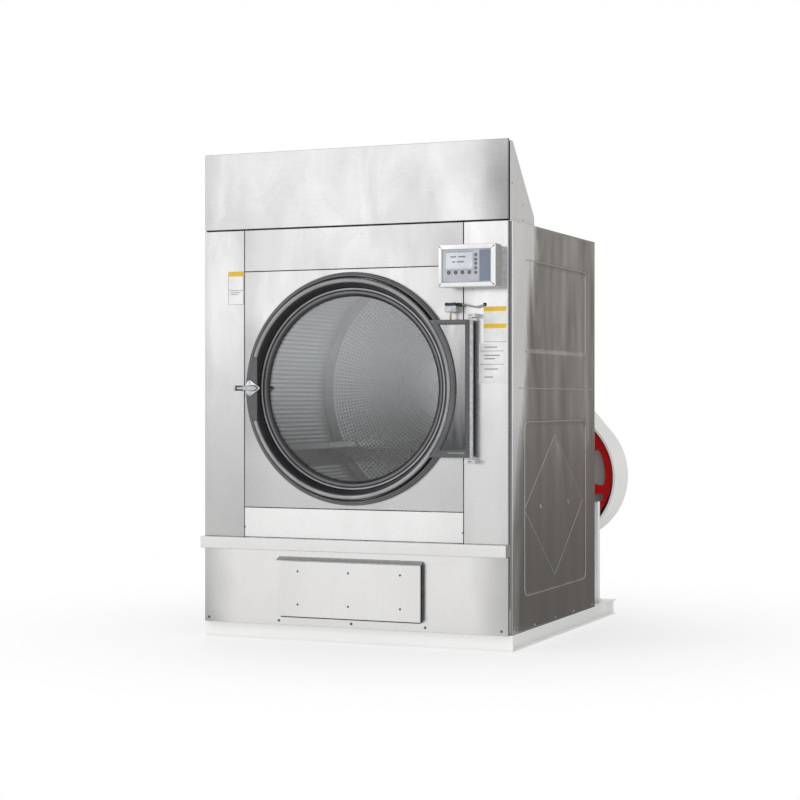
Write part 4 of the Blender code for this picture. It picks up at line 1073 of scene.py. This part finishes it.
def hinge_brackets():
    """Silver brackets above and below the hinge plate, each with two screws and a slotted knuckle."""
    for word in ("upper", "lower"):
        node = "hinge_bracket_" + word
        centre = middle((1.4665, 1.4865) if word == "upper" else (0.8270, 0.8455))
        tall = 0.020 if word == "upper" else 0.0185
        z = (centre - tall / 2, centre + tall / 2)
        foot = block((0.566, 0.602), (-0.012, -0.0003), z, 0.0015)
        arms = [block((0.583, 0.618), (-0.0575, -0.001), (centre + low, centre + high), 0.0012)
                for low, high in ((-0.0086, -0.0018), (0.0018, 0.0086))]
        web = block((0.604, 0.6165), (-0.056, -0.002), (centre - 0.003, centre + 0.003), 0.0008)
        pin = (1.441, 1.471) if word == "upper" else (0.841, 0.871)
        rods = rod(0.005, pin, (HINGE_X, FRONT + HINGE_Y, 0), "Z", 0.001, 20)
        piece("bracket_" + word, joined(foot, *arms, web, rods), "chrome", stands_for=[node])
        points = [spot(x, -0.012, centre) for x in (0.5715, 0.5785)]
        piece("bracket_screws_" + word, heads(points, "Y", -1, 0.0030, 0.002), "cast_iron")


def switch_pieces():
    """Door switch: grey body, dark lid with two screws, gland nut, brass plunger and the grommet."""
    x = span("door_switch_body", "X")[0], 0.529
    body = block(x, (-0.060, -0.0003), (1.493, 1.5205), 0.002, 3)
    bush = lathe([(0.0047, 1.4935), (0.0075, 1.4935), (0.0075, 1.4895), (0.0047, 1.4895)],
                 PLUNGER, "Z", 24, closed=True)
    piece("switch_case", joined(body, bush), "galvanised", stands_for=["door_switch_body"])
    lid = block(inset(x, 0.0005), (-0.0605, -0.012), (1.5195, 1.533), 0.002, 3)
    screws = heads([Vector((px, FRONT - 0.052, 1.533)) for px in (0.483, 0.522)], "Z", 1, 0.003, 0.002)
    piece("switch_lid", joined(lid, screws), "black_plastic")
    gland = lathe(fillet([(0.0033, 0.5275), (0.0080, 0.5275), (0.0080, 0.5360), (0.0068, 0.5365),
                          (0.0068, 0.5430),
                          (0.0055, 0.5480), (0.0033, 0.5480)], 0.0006), (0, FRONT - 0.030, 1.5258), "X", 24,
                  closed=True)
    piece("switch_gland", gland, "black_plastic")
    low, high = span("door_switch_plunger", "Z")
    pin = lathe([(0.0, low), (0.0026, low), (0.0040, low + 0.003), (0.0040, low + 0.012),
                 (0.0034, low + 0.013),
                 (0.0040, low + 0.014), (0.0040, high), (0.0, high)], PLUNGER, "Z", 24)
    piece("switch_pin", pin, "brass", "switch_plunger", ["door_switch_plunger"])
    route = [(0.5484, -0.0300, 1.5258), (0.560, -0.0300, 1.5250), (0.575, -0.0292, 1.5205),
             (0.590, -0.0280, 1.5165), (0.603, -0.0262, 1.5148), (0.615, -0.0240, 1.5150),
             (0.626, -0.0215, 1.5172), (0.634, -0.0180, 1.5205), (0.6395, -0.0135, 1.5236),
             (0.6425, -0.0080, 1.5256), (0.6425, -0.0006, 1.5256)]
    curve = bpy.data.curves.new("switch_lead", "CURVE")
    curve.dimensions = "3D"
    curve.bevel_depth = 0.003
    curve.bevel_resolution = 4
    curve.use_fill_caps = True
    spline = curve.splines.new("NURBS")
    spline.points.add(len(route) - 1)
    for point, place in zip(spline.points, route):
        point.co = (*spot(*place), 1.0)
    spline.use_endpoint_u = True
    spline.order_u = 3
    spline.resolution_u = 6
    lead = bpy.data.objects.new("switch_lead", curve)
    bpy.context.scene.collection.objects.link(lead)
    dress(lead, LOOKS["cable_grey"])
    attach(lead, "cabinet")
    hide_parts("door_switch_cable")
    grommet = lathe(fillet([(0.0034, -0.006), (0.0052, -0.006), (0.0085, -0.0025), (0.0085, -0.0004),
                            (0.0034, -0.0004)], 0.0008), (0.6425, FRONT, 1.5256), "Y", 28, closed=True)
    piece("lead_grommet", grommet, "rubber")


# ---------------------------------------------------------------- control box and labels

def control_box():
    """Mitred bezel, lid, membrane with its screen, key rings and domed buttons."""
    x = span("control_box_lid", "X")
    z = span("control_box_lid", "Z")
    wx = (0.491, 0.718)
    wz = (1.617, 1.760)
    front, back = -0.133, -0.1145
    outer = rectangle(x, z)
    inner = rectangle(wx, wz)
    steel = brushed_steel("bezel_steel", (0.70, 0.70, 0.70), 0.24, (400.0, 400.0, 400.0))
    bars = []
    for index in range(4):
        after = (index + 1) % 4
        bars.append(plate([[outer[index], outer[after], inner[after], inner[index]]], (front, back),
                          edge=0.0018))
    skirt = plate([rectangle(inset(x, 0.0004), inset(z, 0.0004), 0.003)], (-0.1150, -0.0583), edge=0.001)
    step = plate([rectangle(inset(x, 0.0025), inset(z, 0.0025), 0.003)], (-0.0640, -0.0575), edge=0.0005)
    piece("control_bezel", joined(*bars, skirt, step), "stainless_front", stands_for=["control_box_lid"],
          material=steel)
    case = plate([rectangle(inset(x, 0.005), inset(z, 0.005), 0.004)], (-0.0578, -0.0003), edge=0.001)
    piece("control_case", case, "galvanised", stands_for=["control_box_body"])
    corners = [spot(px, front, pz) for px in (x[0] + 0.008, x[1] - 0.011) for pz in (z[0] + 0.010,
                                                                                     z[1] - 0.011)]
    piece("bezel_screws", heads(corners, "Y", -1, 0.0032, 0.0015), "cast_iron")

    buttons = [middle(span("control_button_%d" % number, "X")) for number in range(1, 5)]
    button_z = middle(span("control_button_1", "Z"))
    holes = [circle((bx, button_z), 0.0096, 32) for bx in buttons]
    film = plate([rectangle(inset(wx, 0.0003), inset(wz, 0.0003)), *holes], (-0.1275, -0.1235), edge=0.0004)
    piece("membrane", film, "display_film", stands_for=["control_display"],
          material=moulded("membrane_silver", (0.46, 0.48, 0.53), 0.16, 900.0, 0.00001))
    screen = plate([rectangle((0.508, 0.632), (1.676, 1.746), 0.002)], (-0.1285, -0.1272), edge=0.0004)
    piece("lcd_screen", screen, "display_film", material=LCD_GLASS)
    strip = plate([rectangle((0.664, 0.714), (1.621, 1.756), 0.002)], (-0.1280, -0.1272), edge=0.0003)
    piece("membrane_dark_field", strip, "display_film", material=DARK_FILM)
    rows = []
    for index, (left, right) in enumerate(((0.530, 0.556), (0.566, 0.600), (0.538, 0.552), (0.560, 0.592))):
        level = 1.728 - 0.022 * (index // 2)
        rows.append(plate([rectangle((left, right), (level - 0.003, level + 0.003))], (-0.1288, -0.1283),
                          edge=0.0002))
    for level in (1.7505, 1.6705):
        rows.append(plate([rectangle((0.506, 0.634), (level - 0.0006, level + 0.0006))], (-0.1283, -0.1272),
                          edge=0.0002))
    for index in range(5):
        level = 1.735 - 0.0192 * index
        for px in (0.678, 0.696):
            rows.append(plate([rectangle((px - 0.006, px + 0.006), (level - 0.0012, level + 0.0012))],
                              (-0.1284, -0.1279), edge=0.0002))
    piece("membrane_marks", joined(*rows), "display_film", material=LABEL_GREY)
    rings = []
    for level in (1.735, 1.715, 1.6975, 1.678, 1.658):
        profile = [(0.0044, -0.0001), (0.0044, -0.0016), (0.0056, -0.0022), (0.0072, -0.0016),
                   (0.0072, -0.0001)]
        rings.append(lathe(profile, (0.647, KEYS_Y, level), "Y", 28, closed=True))
        rings.append(rod(0.0034, (-0.0018, -0.0001), (0.647, KEYS_Y, level), "Y", 0.0006, 20))
    piece("membrane_keys", joined(*rings), "button_plastic")
    collars = [lathe([(0.0096, -0.0001), (0.0098, -0.0022), (0.0112, -0.0022), (0.0118, -0.0001)],
                     (bx, KEYS_Y, button_z), "Y", 36, closed=True) for bx in buttons]
    piece("button_collars", joined(*collars), "chrome")
    for number, bx in enumerate(buttons, start=1):
        dome = lathe([(0.0, -0.0046), (0.0035, -0.0044), (0.0065, -0.0036), (0.0084, -0.0020), (0.0088, 0.0),
                      (0.0088, 0.0060), (0.0, 0.0060)], (bx, KEYS_Y, button_z), "Y", 36)
        piece("button_cap_%d" % number, dome, "button_plastic", "button_%d" % number,
              ["control_button_%d" % number])


def labels():
    """Blank stickers on both pilasters: white grounds, yellow bands and plain rules, without any text."""
    grounds = []
    bands = []
    rules = []

    def sheet(forms, x, z, lift=0.0, corner=0.002):
        forms.append(plate([rectangle(x, z, corner)], (-0.0006 - lift, -0.0002 - lift), edge=0.0001,
                           steps=1))

    def rule(x, z):
        sheet(rules, x, z, 0.0004, 0.0)

    def outline(x, z, line=0.0012):
        rules.append(plate([rectangle(x, z), rectangle(inset(x, line), inset(z, line))], (-0.0011, -0.0005),
                           edge=0.0001, steps=1))

    left_x = (-0.626, -0.5475)
    sheet(grounds, left_x, (1.549, 1.702))
    sheet(bands, inset(left_x, 0.0012), (1.680, 1.7008), 0.0004)
    outline(left_x, (1.549, 1.702))
    rule(left_x, (1.6135, 1.6155))
    rule((left_x[0] + 0.014, left_x[1] - 0.014), (1.6035, 1.6055))
    rule((left_x[0] + 0.014, left_x[1] - 0.024), (1.5960, 1.5980))
    right_x = (0.636, 0.743)
    sheet(grounds, right_x, (1.360, 1.517))
    sheet(bands, inset(right_x, 0.0015), (1.496, 1.5155), 0.0004)
    sheet(bands, inset(right_x, 0.0015), (1.421, 1.440), 0.0004)
    rule(right_x, (1.3600, 1.3620))
    sheet(grounds, (0.615, 0.737), (1.178, 1.355))
    for level in (1.320, 1.262):
        rule((0.622, 0.730), (level, level + 0.0020))
    for level, right in ((1.336, 0.700), (1.300, 0.712), (1.285, 0.690), (1.240, 0.704), (1.205, 0.680)):
        rule((0.640, right), (level, level + 0.0042))
    piece("label_grounds", joined(*grounds), "display_film", material=LABEL_WHITE)
    piece("label_bands", joined(*bands), "display_film", material=LABEL_YELLOW)
    piece("label_rules", joined(*rules), "display_film", material=LABEL_GREY)


# ---------------------------------------------------------------- drum and drive

def drum_pieces():
    """The perforated drum with its rolled mouth, and three rounded lifters."""
    front, rear = span("drum_shell", "Y")
    wall = 0.004
    inner = DRUM_R - wall
    lip = front + 0.016
    profile = [(0.463, front), (0.470, lip), (0.640, lip + 0.014), (0.655, lip + 0.022),
               (DRUM_R, lip + 0.040),
               (DRUM_R, rear - 0.020), (0.654, rear - 0.006), (0.640, rear), (0.031, rear),
               (0.031, rear - wall),
               (0.638, rear - wall), (0.650, rear - 0.009), (inner, rear - 0.022), (inner, lip + 0.042),
               (0.650, lip + 0.026), (0.638, lip + 0.018), (0.467, lip + wall), (0.459, front + 0.002)]
    shell = lathe(profile, DOOR_AXIS, steps=192, closed=True)
    piece("drum_sheet", shell, "stainless_drum", "drum", ["drum_shell"])
    lifters = []
    for index in range(3):
        heading = math.radians(90) + math.tau * index / 3
        outline = arc((0, DOOR_Z), inner + 0.001, heading - math.radians(5.4), heading + math.radians(5.4),
                      8)
        outline += arc((0, DOOR_Z), DRUM_R - 0.110, heading + math.radians(1.7), heading - math.radians(1.7),
                       4)
        lifters.append(plate([fillet(outline, 0.012, 4)], (front + 0.066, rear - 0.020), edge=0.004))
    piece("drum_lifters", joined(*lifters), "stainless_drum", "drum",
          material=brushed_steel("lifter_steel", (0.74, 0.745, 0.75), 0.24, (30.0, 500.0, 30.0)))


def wheel_pieces():
    """The red spoked wheel, the belts round it and the pulleys that they run on."""
    near, far = span("jackshaft_pulley", "Y")
    near += 0.004
    far -= 0.004
    axis = (JACK[0], FRONT, JACK[1])
    rim = lathe(fillet([(0.266, near + 0.002), (0.300, near), (0.306, near + 0.004), (0.3045, near + 0.014),
                        (0.306, near + 0.028), (0.3045, near + 0.042), (0.306, far - 0.004), (0.300, far),
                        (0.266, far - 0.002), (0.270, near + 0.034), (0.270, near + 0.020)], 0.0020),
                axis, steps=160, closed=True)
    windows = []
    for index in range(6):
        heading = math.radians(39) + math.tau * (index + 0.5) / 6
        outline = arc(JACK, 0.262, heading - math.radians(21), heading + math.radians(21), 12)
        for radius, offset in ((0.235, 23.0), (0.120, 18.0), (0.096, 10.0), (0.096, -10.0), (0.120, -18.0),
                               (0.235, -23.0)):
            angle = heading + math.radians(offset)
            outline.append((JACK[0] + radius * math.cos(angle), JACK[1] + radius * math.sin(angle)))
        windows.append(fillet(outline, 0.014, 4))
    spider = plate([circle(JACK, 0.272, 128)] + windows, (near + 0.012, near + 0.032), edge=0.004, steps=3)
    hub = lathe(fillet([(0.026, near - 0.004), (0.058, near - 0.004), (0.062, near + 0.010),
                        (0.062, far - 0.010),
                        (0.058, far + 0.004), (0.026, far + 0.004)], 0.003), axis, steps=64, closed=True)
    piece("red_wheel", joined(rim, spider, hub), "red_paint", "jackshaft", ["jackshaft_pulley"])
    bolts = [Vector((JACK[0] + 0.045 * math.cos(angle), FRONT + far + 0.004,
                     JACK[1] + 0.045 * math.sin(angle)))
             for angle in (math.tau * index / 6 for index in range(6))]
    piece("wheel_bolts", heads(bolts, "Y", 1, 0.006, 0.004, 6), "cast_iron", "jackshaft")

    for name, node, planes, first, first_r, second, second_r in (
            ("drive_belt", "primary_belt", span("primary_belt", "Y"), MOTOR, 0.055, JACK, 0.306),
            ("drum_belt", "secondary_belt", span("secondary_belt", "Y"), JACK, 0.060, (0.0, DOOR_Z), 0.320)):
        slack = 0.0015
        loops = [wrap(first, first_r + slack + t, second, second_r + slack + t) for t in (0.008, 0.0)]
        piece(name, plate(loops, planes, edge=0.0012), "rubber", stands_for=[node])

    near, far = 1.672, 1.728
    axis = (0.0, FRONT, DOOR_Z)
    pulley = lathe(fillet([(0.0308, near - 0.012), (0.058, near - 0.012), (0.062, near - 0.006),
                           (0.062, 1.695),
                           (0.288, 1.695), (0.292, near + 0.003), (0.295, near), (0.320, near), (0.320, far),
                           (0.295, far), (0.292, far - 0.003), (0.288, 1.705), (0.062, 1.705),
                           (0.062, far + 0.002),
                           (0.058, far + 0.006), (0.0308, far + 0.006)], 0.0020), axis, steps=160,
                   closed=True)
    piece("drum_wheel", pulley, "cast_iron", "drum", ["drum_pulley"])


def guard_pieces():
    """The belt guard: a deep shell with a rolled lip, its rear face pressed and screwed."""
    low = ((0.405, 0.705), 0.352)
    high = ((0.0, DOOR_Z), 0.365)
    front, rear = span("belt_guard", "Y")
    skin = 0.003
    outer = wrap(*low, *high, 72)
    inner = wrap(low[0], low[1] - skin, high[0], high[1] - skin, 72)
    band = plate([outer, inner], (front, rear - 0.001), edge=0.0012)
    lip = plate([outer, wrap(low[0], low[1] - 0.012, high[0], high[1] - 0.012, 72)], (front, front + 0.0035),
                edge=0.0015)
    back = plate([outer], (rear - 0.0035, rear), edge=0.0016)
    piece("guard_shell", joined(band, lip, back), "white_paint", stands_for=["belt_guard"])
    ring = wrap(low[0], low[1] - 0.022, high[0], high[1] - 0.022, 16)
    points = [Vector((px, FRONT + rear, pz)) for px, pz in ring[::3]]
    piece("guard_screws", heads(points, "Y", 1, 0.005, 0.0025), "galvanised")


def finned_motor(name, node, centre, front, rear, radius, fins, box_up):
    """A small induction motor: finned case, end shields and a plain cowl, with a terminal box and a foot plate
    when box_up is set.
    """
    axis = (centre[0], FRONT, centre[1])
    case = lathe(fillet([(0.0, front), (radius * 0.80, front), (radius * 0.94, front + 0.012),
                         (radius * 0.94, front + 0.060), (radius * 0.90, front + 0.064),
                         (radius * 0.90, rear - 0.030), (radius * 0.94, rear - 0.028),
                         (radius * 0.94, rear - 0.012),
                         (radius * 0.60, rear), (0.0155, rear), (0.0155, rear - 0.038), (0.0, rear - 0.038)],
                        0.003, 3, False), axis, steps=72)
    forms = [case]
    for index in range(fins):
        angle = math.tau * index / fins
        fin = block((centre[0] - 0.0013, centre[0] + 0.0013), (front + 0.066, rear - 0.032),
                    (centre[1] + radius * 0.86, centre[1] + radius), 0.0006, 1)
        forms.append(spun(fin, axis, angle))
    if box_up:
        forms.append(block((centre[0] - 0.045, centre[0] + 0.045), (1.370, 1.470),
                           (centre[1] + radius - 0.025, centre[1] + radius + 0.040), 0.004, 3))
        forms.append(block((centre[0] - 0.095, centre[0] + 0.095), (1.350, 1.530), (0.6193, 0.6600), 0.003))
    piece(name, joined(*forms), "motor_paint", stands_for=[node])


def rear_details():
    """Bolts, screws and slats on what stands behind the cabinet."""
    beam = span("rear_bearing_beam", "Y")
    face = beam[0] + 0.008
    bolts = []
    for index in range(4):
        angle = math.radians(45 + 90 * index)
        bolts.append(spot(0.079 * math.cos(angle), face + 0.0185, DOOR_Z + 0.079 * math.sin(angle)))
    piece("bearing_bolts", heads(bolts, "Y", 1, 0.009, 0.007, 6), "galvanised")
    points = [spot(x, 1.268, z) for x in (-0.735, 0.735) for z in (0.14, 0.50, 0.86, 1.50, 1.85)]
    points += [spot(x, 1.268, 1.865) for x in (-0.45, -0.15, 0.15, 0.45)]
    piece("rear_screws", heads(points, "Y", 1, 0.0055), "galvanised")
    blocks = [Vector((0.405 + side * 0.086, FRONT + 1.560, 0.6415)) for side in (-1, 1)]
    piece("block_bolts", heads(blocks, "Z", 1, 0.010, 0.008, 6), "galvanised")
    feet = [Vector((0.010 + sx * 0.082, FRONT + y, 0.6600)) for sx in (-1, 1) for y in (1.375, 1.505)]
    piece("motor_bolts", heads(feet, "Z", 1, 0.007, 0.006, 6), "galvanised")
    points = [Vector((-0.750, FRONT + y, z)) for y in (1.282, 1.375, 1.468) for z in (0.100, 0.280)]
    points += [Vector((-0.750, FRONT + y, 0.190)) for y in (1.282, 1.468)]
    piece("flange_bolts", heads(points, "X", -1, 0.005, 0.003, 6), "galvanised")
    hood = [Vector((0.755, FRONT + depth, z)) for depth,
            z in ((0.183, 1.905), (0.183, 1.975), (0.040, 2.060))]
    hood += [Vector((-point.x, point.y, point.z)) for point in hood]
    piece("hood_screws", joined(*[heads([point], "X", 1 if point.x > 0 else -1, 0.005) for point in hood]),
          "galvanised")
    caps = []
    for side in (-1, 1):
        across = sorted((side * 0.600, side * 0.695))
        caps += [block((across[0] + t, across[0] + t + 0.006), (1.5860, 1.5885), (0.090, 0.575), 0.001)
                 for t in (0.018, 0.071)]
        caps.append(block((across[0] - 0.004, across[1] + 0.004), (1.546, 1.592), (0.0748, 0.0830), 0.0015))
    piece("post_trim", joined(*caps), "white_paint")


studio()
studio_world()
camera()

for name, obj in NODES.items():
    dress(obj, HOOD_STEEL if name == "header_hood" else LOOKS[SLOT_OF[name]])

front_sheets()
lint_cover()
side_sheets()
door_pieces()
hinge_plate()
latch_pieces()
hinge_brackets()
switch_pieces()
control_box()
labels()
drum_pieces()
wheel_pieces()
guard_pieces()
finned_motor("drive_motor_case", "drive_motor", MOTOR, 1.300, 1.590, 0.085, 28, True)
finned_motor("fan_motor_case", "fan_motor", FAN, 1.4653, 1.637, 0.095, 32, False)
rear_details()
for name in ("base_channel_rear", "base_channel_left", "base_channel_right", "roof_panel",
             "rear_panel", "header_hood", "lint_filter_tray", "rear_bearing_beam", "drive_table",
             "stand_post_left", "stand_post_right", "jackshaft_bearing_block", "drum_bearing_housing",
             "fan_housing", "heater_coil"):
    soften(name)
